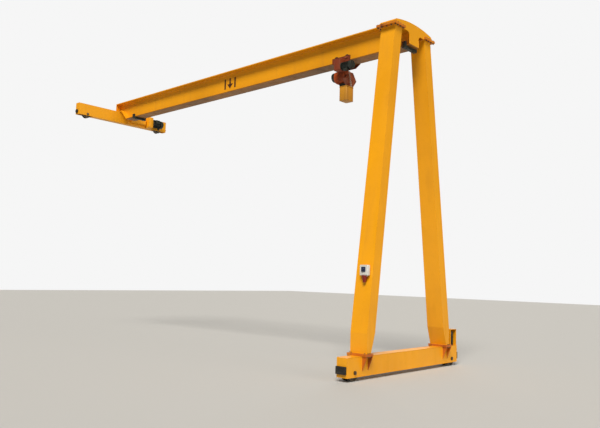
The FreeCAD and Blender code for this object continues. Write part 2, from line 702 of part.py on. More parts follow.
trolley_plates = []
trolley_pins = []
for side, sign in SIDES:
    offset = "%d * %s" % (sign, plate_y)
    slab = plate("trolley_slab_" + side, "XZ_Plane", slab_points, "dim.trolley_plate", offset)
    trolley_plates.append(slab)
    pin_long = "(dim.roller_wide + dim.roller_rim + dim.roller_gap)"
    for end, way in (("front", 1), ("rear", -1)):
        x = "dim.trolley_place + %d * dim.roller_base / 2" % way
        name = "roller_%s_%s" % (side, end)

        def part_of(piece, size, length, inset):
            """A round piece whose outer end is set in from the side plate."""
            near_end = "-(%s - %s)" % (plate_inner, inset)
            far_end = "%s - %s - %s" % (plate_inner, inset, length)
            start = (x, near_end if sign < 0 else far_end, roller_level)
            return bar("%s_%s" % (name, piece), size, length, "y", start)

        trolley_pins.append(part_of("pin", "dim.roller_pin", pin_long, "0"))
        rim_size = "(dim.roller + 2 * dim.roller_rim_rise)"
        rim = part_of("rim", rim_size, "dim.roller_rim", "dim.roller_gap")
        tread_inset = "(dim.roller_gap + dim.roller_rim)"
        tread = part_of("tread", "dim.roller", "dim.roller_wide", tread_inset)
        bore = part_of("bore", "(dim.roller_pin + 2 * dim.running_gap)", pin_long, "0")
        whole = join(name + "_blank", [tread, rim])
        node("trolley_wheel_%s_%s" % (side, end), cut(name + "_bored", whole, bore))

pin_span = "2 * %s" % plate_inner
hanger_start = ("dim.trolley_place", "-" + plate_inner, hanger_level)
trolley_pins.append(bar("hanger_bar", "dim.hanger_pin", pin_span, "y", hanger_start))
node("trolley_side_plates", join("trolley_plate_pair", trolley_plates))
node("trolley_pins", join("trolley_pin_set", trolley_pins))

gear_x = "(dim.trolley_place + dim.travel_gear_shift)"
gear_y = "-(%s + (dim.trolley_plate + dim.travel_motor) / 2)" % plate_y
motor_level = "(%s - dim.travel_level)" % girder_low
gear_level = "%s + (dim.travel_gear_tall - dim.travel_motor) / 2" % motor_level
gear_size = ("dim.travel_gear_long", "dim.travel_motor", "dim.travel_gear_tall")
node("travel_gear_case", block("travel_gear_block", gear_size, (gear_x, gear_y, gear_level)))
motor_start = (gear_x + " + dim.travel_gear_long / 2", gear_y, motor_level)
travel = bar("travel_motor_bar", "dim.travel_motor", "dim.travel_motor_long", "x", motor_start)
node("travel_motor", travel)

# ---- hoist hung from the trolley

hoist_top = "(%s - dim.hoist_top_drop)" % girder_low
hoist_low = "(%s - dim.housing_tall)" % hoist_top
housing = plate(
    "hoist_housing_body",
    "YZ_Plane",
    [
        ("-dim.housing_wide / 2", hoist_low),
        ("dim.housing_wide / 2", hoist_low),
        ("dim.housing_wide / 2", hoist_top),
        ("-dim.housing_wide / 2", hoist_top),
    ],
    "dim.housing_long",
    housing_x,
)
round_edges(housing, "housing_corners", "dim.housing_round", lambda at, way: abs(way.x) > 0.9)
node("hoist_housing", housing)

lug_tall = "(%s + dim.hanger_pin / 2 + dim.lug_wall - %s)" % (hanger_level, hoist_top)
lug_size = ("2 * dim.hanger_pin", "dim.hanger_pin", lug_tall)
lug_block = block(
    "hoist_lug_block", lug_size, ("dim.trolley_place", "0", "%s + %s / 2" % (hoist_top, lug_tall))
)
lug_start = ("dim.trolley_place", "-dim.hanger_pin", hanger_level)
lug_bore = bar("hoist_lug_bore", "dim.hanger_pin", "2 * dim.hanger_pin", "y", lug_start)
node("hoist_lug", cut("hoist_lug_bored", lug_block, lug_bore))

cover_level = "(%s - dim.end_cover / 2)" % hoist_top
cover_start = (
    housing_x + " - dim.housing_long / 2 - dim.end_cover_long",
    "0",
    cover_level,
)
cover = bar("brake_cover_bar", "dim.end_cover", "dim.end_cover_long", "x", cover_start)
node("hoist_brake_cover", cover)

case_high = "(%s - dim.gear_case_sink)" % hoist_top
case_low = "(%s - dim.gear_case_tall)" % case_high
case_mid = "(%s + %s) / 2" % (case_high, case_low)
case_x = "(%s + (dim.housing_long + dim.gear_case_long) / 2)" % housing_x
case = plate(
    "gear_case_body",
    "YZ_Plane",
    [
        ("-dim.gear_case_flat", case_low),
        ("dim.gear_case_flat", case_low),
        ("dim.gear_case_half", case_mid),
        ("dim.gear_case_flat", case_high),
        ("-dim.gear_case_flat", case_high),
        ("-dim.gear_case_half", case_mid),
    ],
    "dim.gear_case_long",
    case_x,
)
node("hoist_gear_case", case)

guide_low = "(%s - dim.guide_drop)" % hoist_low
guide = plate(
    "chain_guide_body",
    "XZ_Plane",
    [
        (hook_x + " - dim.guide_foot / 2", guide_low),
        (hook_x + " + dim.guide_foot / 2", guide_low),
        (hook_x + " + dim.guide_wide / 2", hoist_low),
        (hook_x + " - dim.guide_wide / 2", hoist_low),
    ],
    "dim.block_thick",
)
node("chain_guide", guide)

# ---- hook block and load chain

block_high = "(%s - dim.hook_travel_gap)" % guide_low
block_low = "(%s - dim.block_tall)" % block_high
falls = []
for side, sign in SIDES:
    x = "%s + %d * dim.chain_spread / 2" % (hook_x, sign)
    name = "chain_fall_" + side
    falls.append(bar(name, "2 * dim.chain_wire", "dim.hook_travel_gap", "z", (x, "0", block_high)))
node("load_chain", join("chain_fall_pair", falls))
hook_size = ("dim.block_wide", "dim.block_thick", "dim.block_tall")
hook_middle = (hook_x, "0", "%s - dim.block_tall / 2" % block_high)
node("hook_block", block("hook_block_box", hook_size, hook_middle))


def load_hook():
    """A single hook: a shank and a bowl of round bar, open on one side."""
    centre = FreeCAD.Vector(solve(hook_x), 0, solve(block_low))
    bowl = dim("hook_bowl")
    radius = dim("hook_bar") / 2
    middle = centre - FreeCAD.Vector(0, 0, radius + bowl + radius)
    start = middle + FreeCAD.Vector(0, 0, bowl)
    left = middle - FreeCAD.Vector(bowl, 0, 0)
    under = middle - FreeCAD.Vector(0, 0, bowl)
    right = middle + FreeCAD.Vector(bowl, 0, 0)
    first = Part.Arc(start, middle + FreeCAD.Vector(-0.7071 * bowl, 0, 0.7071 * bowl), left).toShape()
    second = Part.Arc(left, under, right).toShape()
    shank = Part.makeCylinder(radius, 2 * radius, centre - FreeCAD.Vector(0, 0, 2 * radius))
    ring = Part.Wire([Part.Circle(start, FreeCAD.Vector(1, 0, 0), radius).toShape()])
    sweep = Part.Wire([first, second]).makePipeShell([ring], True, True)
    tip = Part.makeSphere(radius, right)
    return shank.fuse([sweep, Part.makeSphere(radius, start), tip]).removeSplitter()


hook = doc.addObject("Part::Feature", "load_hook_shape")
hook.Shape = load_hook()
node("load_hook", hook)

# ---- chain container beside the hook

bin_x = "%s + dim.bin_shift" % case_x
bin_floor = "(%s - dim.bin_gap - dim.bin_tall)" % case_low
bin_size = ("dim.bin_long", "dim.bin_wide", "dim.bin_tall")
bin_middle = (bin_x, "dim.bin_side", bin_floor + " + dim.bin_tall / 2")
outer = block("bin_outer", bin_size, bin_middle)
inner_size = ("dim.bin_long - 2 * dim.bin_wall", "dim.bin_wide - 2 * dim.bin_wall", "dim.bin_tall")
inner_middle = (bin_x, "dim.bin_side", bin_floor + " + dim.bin_wall + dim.bin_tall / 2")
node("chain_container", cut("bin_cut", outer, block("bin_inner", inner_size, inner_middle)))

hanger_tall = "(dim.bin_gap + dim.bin_grip)"
hanger_y = "dim.bin_side + (dim.bin_wide + dim.bin_hanger) / 2"
hanger_middle = (case_x, hanger_y, "%s - %s / 2" % (case_low, hanger_tall))
hanger_size = ("dim.bin_hanger_wide", "dim.bin_hanger", hanger_tall)
node("chain_container_hanger", block("bin_hanger_bar", hanger_size, hanger_middle))

# ---- drives

guard_size = ("dim.guard_wide", "dim.guard_long", "dim.guard_tall")
guard_y = "(%s / 2 - dim.guard_setback - dim.guard_long / 2)" % floor_length
guard_middle = ("0", guard_y, beam_top + " + dim.guard_tall / 2")
guard_outer = block("guard_outer", guard_size, guard_middle)
room_size = ("dim.guard_wide", "dim.guard_long - 2 * dim.guard_wall", "dim.guard_tall - dim.guard_wall")
room_middle = (
    "dim.guard_wall",
    guard_y,
    beam_top + " + (dim.guard_tall - dim.guard_wall) / 2",
)
node("floor_drive_guard", cut("guard_cut", guard_outer, block("guard_room", room_size, room_middle)))
motor_foot = ("0", guard_y, beam_top)
drive_tall = "dim.guard_tall - dim.guard_wall - dim.drive_headroom"
node("floor_drive_motor", bar("floor_motor_bar", "dim.drive_motor", drive_tall, "z", motor_foot))

wall_gear_size = ("dim.wall_gear_long", "dim.wall_gear_wide", "dim.wall_height")
wall_gear_x = "%s + dim.wall_gear_long / 2" % wall_in
wall_gear_level = wall_rail + " + dim.wall_rise + dim.wall_height / 2"
node(
    "upper_gear_case",
    block("wall_gear_block", wall_gear_size, (wall_gear_x, "dim.wall_gear_place", wall_gear_level)),
)
wall_motor_start = (
    wall_in + " + dim.wall_motor_reach",
    "dim.wall_gear_place + dim.wall_gear_wide / 2",
    wall_gear_level,
)
node(
    "upper_travel_motor",
    bar("wall_motor_bar", "dim.wall_motor", "dim.wall_motor_long", "y", wall_motor_start),
)
box_size = ("dim.wall_box_deep", "dim.wall_box_long", "dim.wall_box_tall")
box_middle = ("%s + dim.wall_box_deep / 2" % wall_in, "dim.wall_box_place", wall_gear_level)
node("upper_terminal_box", block("wall_box_block", box_size, box_middle))

# ---- switch box on the near leg

lean = "(dim.leg_outside - dim.leg_top_outside) / (dim.leg_top - dim.knee_level)"


def leg_face(level):
    """Y of the near leg's outer face at a level."""
    return "-(dim.leg_outside - (%s - dim.knee_level) * %s)" % (level, lean)


switch_high = "(dim.switch_level + dim.switch_tall / 2)"
switch_low = "(dim.switch_level - dim.switch_tall / 2)"
switch_back = "(%s - dim.switch_bracket)" % leg_face(switch_high)
switch_front = "(%s - dim.switch_deep)" % switch_back
switch_size = ("dim.switch_wide", "dim.switch_deep", "dim.switch_tall")
switch_middle = ("dim.switch_place", switch_back + " - dim.switch_deep / 2", "dim.switch_level")
node("switch_box", block("switch_block", switch_size, switch_middle))
bracket_points = [
    (switch_back, switch_low),
    (leg_face(switch_low), switch_low),
    (leg_face(switch_high), switch_high),
    (switch_back, switch_high),
]
bracket = plate("switch_bracket_body", "YZ_Plane", bracket_points, "dim.bracket_wide", "dim.switch_place")
node("switch_bracket", bracket)
isolator_size = ("dim.isolator", "dim.isolator_deep", "dim.isolator")
isolator_middle = (
    "dim.switch_place",
    switch_front + " - dim.isolator_deep / 2",
    "dim.switch_level + dim.isolator_lift",
)
node("switch_isolator", block("isolator_block", isolator_size, isolator_middle))
beacon = doc.addObject("Part::Cone", "beacon_cone")
bind(beacon, Radius1="dim.beacon_foot / 2", Radius2="dim.beacon_top / 2", Height="dim.beacon_tall")
beacon_y = leg_face(switch_low) + " - dim.beacon_gap - dim.beacon_top / 2"
place(beacon, "dim.switch_place", beacon_y, switch_low + " - dim.beacon_tall")
node("warning_beacon", beacon)

doc.recompute()

bad = [o.Label for o in doc.Objects if set(o.State) & {"Invalid", "Error"}]
bad += [n.Label for n in nodes if n.Shape.isNull() or not n.Shape.isValid() or not n.Shape.Solids]
if bad:
    raise SystemExit("broken: " + ", ".join(bad))

os.makedirs("parts", exist_ok=True)
for piece in nodes:
    piece.Shape.exportStep("parts/%s.step" % piece.Label)
print(len(nodes), "nodes")
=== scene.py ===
import json
import math

import bmesh
import bpy
from mathutils import Matrix, Vector


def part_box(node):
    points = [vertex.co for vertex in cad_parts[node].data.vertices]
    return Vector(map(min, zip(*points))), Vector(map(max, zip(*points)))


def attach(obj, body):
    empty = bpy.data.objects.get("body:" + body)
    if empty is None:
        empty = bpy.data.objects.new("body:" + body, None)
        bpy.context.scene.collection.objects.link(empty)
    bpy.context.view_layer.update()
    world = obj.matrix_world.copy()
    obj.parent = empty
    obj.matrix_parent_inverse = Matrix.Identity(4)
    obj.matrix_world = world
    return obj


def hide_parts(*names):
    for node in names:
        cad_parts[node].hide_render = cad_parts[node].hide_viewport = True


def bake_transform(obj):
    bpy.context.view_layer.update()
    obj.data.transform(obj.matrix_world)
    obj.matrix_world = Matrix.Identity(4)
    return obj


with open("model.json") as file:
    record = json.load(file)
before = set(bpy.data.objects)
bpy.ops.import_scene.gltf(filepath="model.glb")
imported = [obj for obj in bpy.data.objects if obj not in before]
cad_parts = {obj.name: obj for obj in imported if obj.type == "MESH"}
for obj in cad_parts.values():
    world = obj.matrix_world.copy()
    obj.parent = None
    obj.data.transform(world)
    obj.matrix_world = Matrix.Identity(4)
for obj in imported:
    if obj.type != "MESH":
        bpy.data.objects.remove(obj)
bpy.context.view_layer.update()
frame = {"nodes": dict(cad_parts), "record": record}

nodes = frame["nodes"]
axes = {"x": Vector((1, 0, 0)), "y": Vector((0, 1, 0)), "z": Vector((0, 0, 1))}
sides = (("near", -1), ("far", 1))


# ways to model, all on Blender's own operators

def deselectAll():
    if bpy.context.mode != "OBJECT":
        bpy.ops.object.mode_set(mode="OBJECT")
    bpy.ops.object.select_all(action="DESELECT")


def takeNew(name):
    piece = bpy.context.object
    piece.name = name
    piece.data.name = name
    bpy.ops.object.transform_apply(location=True, rotation=True, scale=True)
    return piece


def addBlock(name, low, high):
    deselectAll()
    middle = [(a + b) / 2 for a, b in zip(low, high)]
    size = [b - a for a, b in zip(low, high)]
    bpy.ops.mesh.primitive_cube_add(size=1, location=middle, scale=size)
    return takeNew(name)


def addRod(name, start, radius, length, axis="z", count=32, tip=None):
    deselectAll()
    turn = {"x": (0, math.pi / 2, 0), "y": (-math.pi / 2, 0, 0), "z": (0, 0, 0)}[axis]
    middle = Vector(start) + axes[axis] * length / 2
    bpy.ops.mesh.primitive_cone_add(
        vertices=count,
        radius1=radius,
        radius2=radius if tip is None else tip,
        depth=length,
        location=middle,
        rotation=turn,
    )
    return takeNew(name)


def facing(axis, sign=1):
    return lambda at, way: way.dot(axes[axis]) * sign > 0.9


def along(axis, least=0.9):
    return lambda at, way: abs(way.dot(axes[axis])) > least


def work(piece, test, *steps, kind="FACE"):
    # selects faces or edges by place and normal, then runs edit-mode operators on them
    deselectAll()
    bpy.context.view_layer.objects.active = piece
    piece.select_set(True)
    bpy.ops.object.mode_set(mode="EDIT")
    bpy.ops.mesh.select_mode(type=kind)
    bpy.ops.mesh.select_all(action="DESELECT")
    mesh = bmesh.from_edit_mesh(piece.data)
    if kind == "FACE":
        for face in mesh.faces:
            face.select_set(bool(test(face.calc_center_median(), face.normal)))
    else:
        for edge in mesh.edges:
            ends = [v.co for v in edge.verts]
            edge.select_set(bool(test((ends[0] + ends[1]) / 2, (ends[1] - ends[0]).normalized())))
    bmesh.update_edit_mesh(piece.data)
    for step, settings in steps:
        step(**settings)
    bpy.ops.object.mode_set(mode="OBJECT")
    return piece


def carve(piece, test, rings):
    # rings of (inset, depth) make steps, recesses and bosses on the chosen faces
    steps = [(bpy.ops.mesh.inset, {"thickness": inset, "depth": depth}) for inset, depth in rings]
    return work(piece, test, *steps)


def roundEdges(piece, test, radius, segments):
    step = (bpy.ops.mesh.bevel, {"offset": radius, "segments": segments, "affect": "EDGES"})
    return work(piece, test, step, kind="EDGE")


def bevel(piece, width, segments=2, angle=30):
    deselectAll()
    bpy.context.view_layer.objects.active = piece
    piece.select_set(True)
    edge = piece.modifiers.new("edge", "BEVEL")
    edge.width = width
    edge.segments = segments
    edge.limit_method = "ANGLE"
    edge.angle_limit = math.radians(angle)
    bpy.ops.object.modifier_apply(modifier=edge.name)
    return piece


def join(name, pieces):
    deselectAll()
    for piece in pieces:
        piece.select_set(True)
    bpy.context.view_layer.objects.active = pieces[0]
    bpy.ops.object.join()
    whole = bpy.context.object
    whole.name = name
    whole.data.name = name
    return whole


def copyTo(piece, move):
    twin = piece.copy()
    twin.data = piece.data.copy()
    bpy.context.scene.collection.objects.link(twin)
    twin.data.transform(move)
    return twin


def drop(piece):
    bpy.data.objects.remove(piece)


def aim(point, direction):
    # a move that takes +Z at the origin to a direction at a point
    return Matrix.Translation(point) @ Vector(direction).to_track_quat("Z", "Y").to_matrix().to_4x4()


def paint(piece, material):
    piece.data.materials.clear()
    piece.data.materials.append(material)
    return piece


def settle(piece, body, replaced=()):
    deselectAll()
    bpy.context.view_layer.objects.active = piece
    piece.select_set(True)
    bpy.ops.object.shade_smooth_by_angle(angle=math.radians(35))
    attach(piece, body)
    if replaced:
        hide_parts(*replaced)
    return piece


# materials

def linear(hexText):
    channels = [int(hexText[i:i + 2], 16) / 255 for i in (1, 3, 5)]
    return [c / 12.92 if c <= 0.04045 else ((c + 0.055) / 1.055) ** 2.4 for c in channels] + [1]


def addNode(tree, kind, settings, links=()):
    node = tree.nodes.new(kind)
    for key, value in settings.items():
        if isinstance(key, str) and hasattr(node, key):
            setattr(node, key, value)
        else:
            node.inputs[key].default_value = value
    for key, source in dict(links).items():
        tree.links.new(source, node.inputs[key])
    return node


def newMaterial(name):
    material = bpy.data.materials.new(name)
    material.use_nodes = True
    material.node_tree.nodes.clear()
    return material, material.node_tree


def objectPlace(tree):
    return addNode(tree, "ShaderNodeTexCoord", {}).outputs["Object"]


def noise(tree, place, scale, detail, roughness=0.5):
    settings = {"Scale": scale, "Detail": detail, "Roughness": roughness}
    return addNode(tree, "ShaderNodeTexNoise", settings, {"Vector": place}).outputs[0]


def ranged(tree, source, low, high, least=0.0, most=1.0):
    return addNode(tree, "ShaderNodeMapRange", {1: low, 2: high, 3: least, 4: most}, {0: source}).outputs[0]


def mixed(tree, share, first, second):
    # each end is a colour, or a socket that carries one
    settings, links = {"data_type": "RGBA"}, {0: share}
    for socket, end in ((6, first), (7, second)):
        if isinstance(end, list):
            settings[socket] = end
        else:
            links[socket] = end
    return addNode(tree, "ShaderNodeMix", settings, links).outputs[2]


def bumped(tree, height, strength, distance, links=()):
    settings = {"Strength": strength, "Distance": distance}
    return addNode(tree, "ShaderNodeBump", settings, {"Height": height, **dict(links)}).outputs[0]


def closeMaterial(tree, settings, links):
    shader = addNode(tree, "ShaderNodeBsdfPrincipled", settings, links)
    addNode(tree, "ShaderNodeOutputMaterial", {}, {"Surface": shader.outputs["BSDF"]})


enamelLook = {
    "patchSize": 1.4,       # metres across a patch of fresher or duller paint
    "streakWide": 0.16,     # metres across a rain streak
    "streakLong": 1.6,      # metres down a rain streak
    "speckleSize": 0.012,   # real grit is 1 mm, drawn coarser so that it shows
    "peelSize": 0.009,      # orange peel is 3 mm across, drawn coarser so that it shows
    "buckleSize": 0.55,     # metres between the shallow buckles that welding leaves in plate
    "chipSize": 0.035,      # metres across a chip
    "edgeReach": 0.010,     # metres from an edge that gets rubbed
    "underCoat": "#4A2E1C",  # what a rubbed edge shows
}


def sprayedEnamel(name, fresh, dull, dirt, roughness=0.42, chips=0.5, streaks=0.12, grime=0.5):
    # alkyd enamel sprayed on plate: patchy colour, rain streaks, grit and rubbed edges over a soft gloss
    material, tree = newMaterial(name)
    look = enamelLook
    place = objectPlace(tree)
    patch = ranged(tree, noise(tree, place, 1 / look["patchSize"], 4.0, 0.6), 0.35, 0.68)
    tone = mixed(tree, patch, linear(fresh), linear(dull))
    across, down = 1 / look["streakWide"], 1 / look["streakLong"]
    stretch = addNode(tree, "ShaderNodeMapping", {"Scale": (across, across, down)}, {"Vector": place})
    streak = noise(tree, stretch.outputs[0], 1.0, 3.0, 0.55)
    streaked = mixed(tree, ranged(tree, streak, 0.56, 0.78, most=streaks), tone, linear(dirt))
    grit = noise(tree, place, 1 / look["speckleSize"], 2.0)
    gritty = mixed(tree, ranged(tree, grit, 0.60, 0.74, most=0.35 * grime), streaked, linear(dirt))
    # rubbed edges: the rounded normal leaves the true one only near an edge
    rounded = addNode(tree, "ShaderNodeBevel", {"samples": 4, "Radius": look["edgeReach"]})
    true = addNode(tree, "ShaderNodeNewGeometry", {})
    normals = {0: rounded.outputs[0], 1: true.outputs["Normal"]}
    alike = addNode(tree, "ShaderNodeVectorMath", {"operation": "DOT_PRODUCT"}, normals)
    edge = ranged(tree, alike.outputs["Value"], 0.985, 0.80)
    chip = ranged(tree, noise(tree, place, 1 / look["chipSize"], 3.0, 0.7), 0.53, 0.60, most=chips)
    worn = addNode(tree, "ShaderNodeMath", {"operation": "MULTIPLY"}, {0: edge, 1: chip})
    colour = mixed(tree, worn.outputs[0], gritty, linear(look["underCoat"]))
    gloss = ranged(tree, streak, 0.3, 0.75, roughness - 0.06, roughness + 0.16)
    broad = bumped(tree, noise(tree, place, 1 / look["buckleSize"], 1.0), 0.35, 0.02)
    fine = bumped(tree, noise(tree, place, 1 / look["peelSize"], 1.0), 0.12, 0.001, {"Normal": broad})
    closeMaterial(tree, {"IOR": 1.5}, {"Base Color": colour, "Roughness": gloss, "Normal": fine})
    return material


def bareSteel(name, bright, stain, grain, roughness, metallic=1.0):
    # turned, rolled or forged steel: a metal with brown oil film and fine tool marks
    material, tree = newMaterial(name)
    place = objectPlace(tree)
    film = noise(tree, place, 18.0, 5.0, 0.65)
    colour = mixed(tree, ranged(tree, film, 0.40, 0.66), linear(bright), linear(stain))
    gloss = ranged(tree, film, 0.3, 0.7, roughness - 0.08, roughness + 0.14)
    marks = bumped(tree, noise(tree, place, 1 / grain, 2.0), 0.2, 0.0006)
    closeMaterial(tree, {"Metallic": metallic}, {"Base Color": colour, "Roughness": gloss, "Normal": marks})
    return material


def mouldedSkin(name, clean, dust, grain, roughness):
    # rubber, powder coat or moulded plastic: an even body colour under dust, with a fine grain
    material, tree = newMaterial(name)
    place = objectPlace(tree)
    dustFall = noise(tree, place, 26.0, 5.0, 0.7)
    colour = mixed(tree, ranged(tree, dustFall, 0.42, 0.78, most=0.7), linear(clean), linear(dust))
    gloss = ranged(tree, dustFall, 0.3, 0.7, roughness - 0.05, roughness + 0.12)
    skin = bumped(tree, noise(tree, place, 1 / grain, 1.0), 0.15, 0.0005)
    closeMaterial(tree, {"IOR": 1.5}, {"Base Color": colour, "Roughness": gloss, "Normal": skin})
    return material


craneEnamel = sprayedEnamel("crane_enamel", "#F0A80A", "#E29C06", "#8A5210")
# brackets and flanges get a darker, redder enamel: painted shade of their shaded undersides and gussets,
# under real streaks and chipped edges
streakedBracketPaintedShadeEnamel = sprayedEnamel("streaked_bracket_enamel_painted_shade", "#D9860E", "#A8501A", "#5A2410", 0.5, 0.9, 0.7, 1.0)
hoistEnamel = sprayedEnamel("hoist_enamel", "#C8602A", "#A8451C", "#3A2018", 0.38, 0.7, 0.5, 0.9)
gearEnamel = sprayedEnamel("gear_case_enamel", "#A85A38", "#863C22", "#2E1A14", 0.40, 0.8, 0.5, 1.0)
trolleyEnamel = sprayedEnamel("trolley_enamel", "#8C3F22", "#6E2C18", "#26140E", 0.45, 0.8, 0.5, 1.0)
motorEnamel = sprayedEnamel("motor_enamel", "#28322E", "#1B2422", "#4A4034", 0.42, 0.5, 0.3, 1.0)
# the girder's bottom flange gets a dark brown enamel: partly grease on the running flange, partly painted
# shade of the flange's shaded underside
flangeGreaseAndShadeEnamel = sprayedEnamel("flange_grease_and_painted_shade_enamel", "#9C661A", "#6E4818", "#2E1C10", 0.5, 0.6, 0.3, 1.0)
containerEnamel = sprayedEnamel("container_enamel", "#C88E22", "#B4781A", "#5E4A1E", 0.48, 0.6, 0.6, 0.7)
wheelSteel = bareSteel("rolled_wheel_steel", "#7C7468", "#3E3026", 0.004, 0.42)
zincSteel = bareSteel("dull_zinc_bolt", "#8C8068", "#6A5638", 0.003, 0.46)
brightZinc = bareSteel("bright_zinc_chain", "#D8D0C8", "#B09A88", 0.002, 0.40, 0.8)
chainSteel = bareSteel("hardened_chain_steel", "#8A8780", "#4A4238", 0.002, 0.36)
forgedSteel = bareSteel("forged_hook_steel", "#5E5850", "#3A322A", 0.005, 0.50)
bufferRubber = mouldedSkin("black_buffer_rubber", "#141414", "#3C3934", 0.004, 0.72)
powderCoat = mouldedSkin("grey_powder_coat", "#D6DADC", "#B4B6B2", 0.002, 0.40)
isolatorPlastic = mouldedSkin("isolator_plastic", "#1C2A4E", "#2E3858", 0.003, 0.34)
beaconPlastic = mouldedSkin("beacon_plastic", "#7E1A14", "#6A2C22", 0.003, 0.28)
markPaint = mouldedSkin("stencil_paint", "#3E1E0E", "#5E3210", 0.006, 0.55)
print("materials ready")

cadFinish = {
    "crane_paint": craneEnamel,
    "buffer_rubber": bufferRubber,
    "wheel_steel": wheelSteel,
    "trolley_paint": trolleyEnamel,
    "hoist_paint": hoistEnamel,
    "motor_paint": motorEnamel,
    "container_paint": containerEnamel,
    "hook_paint": craneEnamel,
    "hook_steel": forgedSteel,
    "switch_shell": powderCoat,
    "isolator_blue": isolatorPlastic,
    "beacon_red": beaconPlastic,
}
for part in frame["record"]["subparts"]:
    paint(nodes[part["node"]], cadFinish[part["material_slot"]])
# the bottom flange's dark enamel is partly grease and partly painted shade
paint(nodes["girder_bottom_flange"], flangeGreaseAndShadeEnamel)
# these parts take the darker, redder enamel that paints in their shade
for name in ("foot_brackets", "leg_foot_flanges", "saddle_flanges", "leg_top_flanges"):
    paint(nodes[name], streakedBracketPaintedShadeEnamel)
print("frame painted")


# bolts: one head and one nut are modelled, then copied to every joint

boltSize = {
    "flats": 0.024,
    "head": 0.010,
    "nut": 0.013,
    "stub": 0.008,        # thread past the nut
    "washer": 0.0142,     # radius
    "washerThick": 0.003,
}


def makeBoltEnds(size):
    corner = size["flats"] / 2 / math.cos(math.pi / 6)
    washer = bevel(addRod("washer", (0, 0, 0), size["washer"], size["washerThick"], count=20), 0.0006, 1)
    head = addRod("head", (0, 0, size["washerThick"]), corner, size["head"], count=6)
    carve(head, facing("z"), [(0.002, 0.001)])
    headEnd = join("boltHead", [head, washer])
    nut = addRod("nut", (0, 0, size["washerThick"]), corner, size["nut"], count=6)
    carve(nut, facing("z"), [(0.002, 0.001)])
    top = size["washerThick"] + size["nut"]
    stub = bevel(addRod("stub", (0, 0, top), size["flats"] / 3, size["stub"], count=12), 0.0012, 1)
    ring = addRod("ring", (0, 0, 0), size["washer"], size["washerThick"], count=20)
    nutEnd = join("boltNut", [nut, stub, ring])
    return headEnd, nutEnd


boltHead, boltNut = makeBoltEnds(boltSize)


def placeBolts(name, body, spots, scale=1.0):
    # a spot is a point on the outer face, the way that the head looks, and the grip through to the nut
    grown = Matrix.Scale(scale, 4)
    made = []
    for point, way, grip in spots:
        made.append(copyTo(boltHead, aim(point, way) @ grown))
        if grip:
            back = Vector(point) - Vector(way) * grip
            made.append(copyTo(boltNut, aim(back, -Vector(way)) @ grown))
    return settle(paint(join(name, made), zincSteel), body)


footLow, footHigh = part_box("leg_foot_flanges")
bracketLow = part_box("foot_brackets")[0]
beamLow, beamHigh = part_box("floor_beam_webs")
legLow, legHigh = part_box("leg_near")
flangeLow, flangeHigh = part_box("leg_top_flanges")
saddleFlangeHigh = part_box("saddle_flanges")[1]
seatLow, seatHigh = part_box("upper_seat_plate")
seatFlangeLow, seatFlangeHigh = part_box("girder_seat_flange")
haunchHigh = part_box("girder_haunch")[1]
girderLow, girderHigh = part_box("girder_bottom_flange")
topLow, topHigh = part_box("girder_top_flange")
webLow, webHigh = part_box("girder_web")
stopLow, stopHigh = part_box("trolley_stop_bars")

# metres from a flange's edge unless a note says otherwise
jointBolts = {
    "footSide": 0.0118,       # the two bolts at each side of a foot flange
    "footMiddle": 0.0925,     # their middle from the flange's outer edge
    "footSpread": 0.025,      # half the distance between them
    "footOuter": 0.038,       # the two bolts on the outer edge of a foot flange
    "footOuterHalf": 0.135,   # half the distance between those
    "topSide": 0.017,         # the rows beside the legs' tops
    "topInner": 0.39,         # where those rows start, from the middle of the crane
    "topRow": 4,              # bolts in a row
    "topOuter": 0.030,        # the row outside a leg's top
    "topOuterStep": 0.1,      # metres between its three bolts
    "seatEnd": 0.045,
    "seatSide": 0.022,
    "seatHalf": 0.085,        # half the distance between the bolts through the girder's seat
    "stopEnd": 0.035,
    "stopHalf": 0.11,         # half the distance between a stop bar's bolts
}
up = (0, 0, 1)
footGrip = 2 * (footHigh.z - footLow.z)
topGrip = saddleFlangeHigh.z - flangeLow.z
footSpots = []
topSpots = []
for side, sign in sides:
    middle = sign * (footHigh.y - jointBolts["footMiddle"])
    for x in (footLow.x + jointBolts["footSide"], footHigh.x - jointBolts["footSide"]):
        for spread in (-jointBolts["footSpread"], jointBolts["footSpread"]):
            footSpots.append(((x, middle + spread, footHigh.z), up, footGrip))
    for x in (-jointBolts["footOuterHalf"], jointBolts["footOuterHalf"]):
        y = sign * (footHigh.y - jointBolts["footOuter"])
        footSpots.append(((x, y, footHigh.z), up, footGrip))
    inner = jointBolts["topInner"]
    outer = saddleFlangeHigh.y - jointBolts["topOuter"]
    for step in range(jointBolts["topRow"]):
        y = sign * (inner + (outer - inner) * step / (jointBolts["topRow"] - 1))
        for x in (flangeLow.x + jointBolts["topSide"], flangeHigh.x - jointBolts["topSide"]):
            topSpots.append(((x, y, saddleFlangeHigh.z), up, topGrip))
    for step in (-1, 0, 1):
        x = step * jointBolts["topOuterStep"]
        topSpots.append(((x, sign * outer, saddleFlangeHigh.z), up, topGrip))
placeBolts("foot_bolts", "frame", footSpots, 0.8)
placeBolts("leg_top_bolts", "frame", topSpots)
seatSpots = []
for x in (seatLow.x + jointBolts["seatEnd"], seatHigh.x - jointBolts["seatEnd"]):
    for y in (seatLow.y + jointBolts["seatSide"], seatHigh.y - jointBolts["seatSide"]):
        seatSpots.append(((x, y, seatHigh.z), up, 0))
    for y in (-jointBolts["seatHalf"], jointBolts["seatHalf"]):
        seatSpots.append(((x, y, seatFlangeHigh.z), up, 0))
placeBolts("seat_bolts", "frame", seatSpots)
stopSpots = []
for x in (stopLow.x + jointBolts["stopEnd"], stopHigh.x - jointBolts["stopEnd"]):
    for y in (-jointBolts["stopHalf"], jointBolts["stopHalf"]):
        stopSpots.append(((x, y, stopLow.z), (0, 0, -1), 0))
placeBolts("stop_bolts", "frame", stopSpots)
print("bolts placed")


# weld beads along the seams

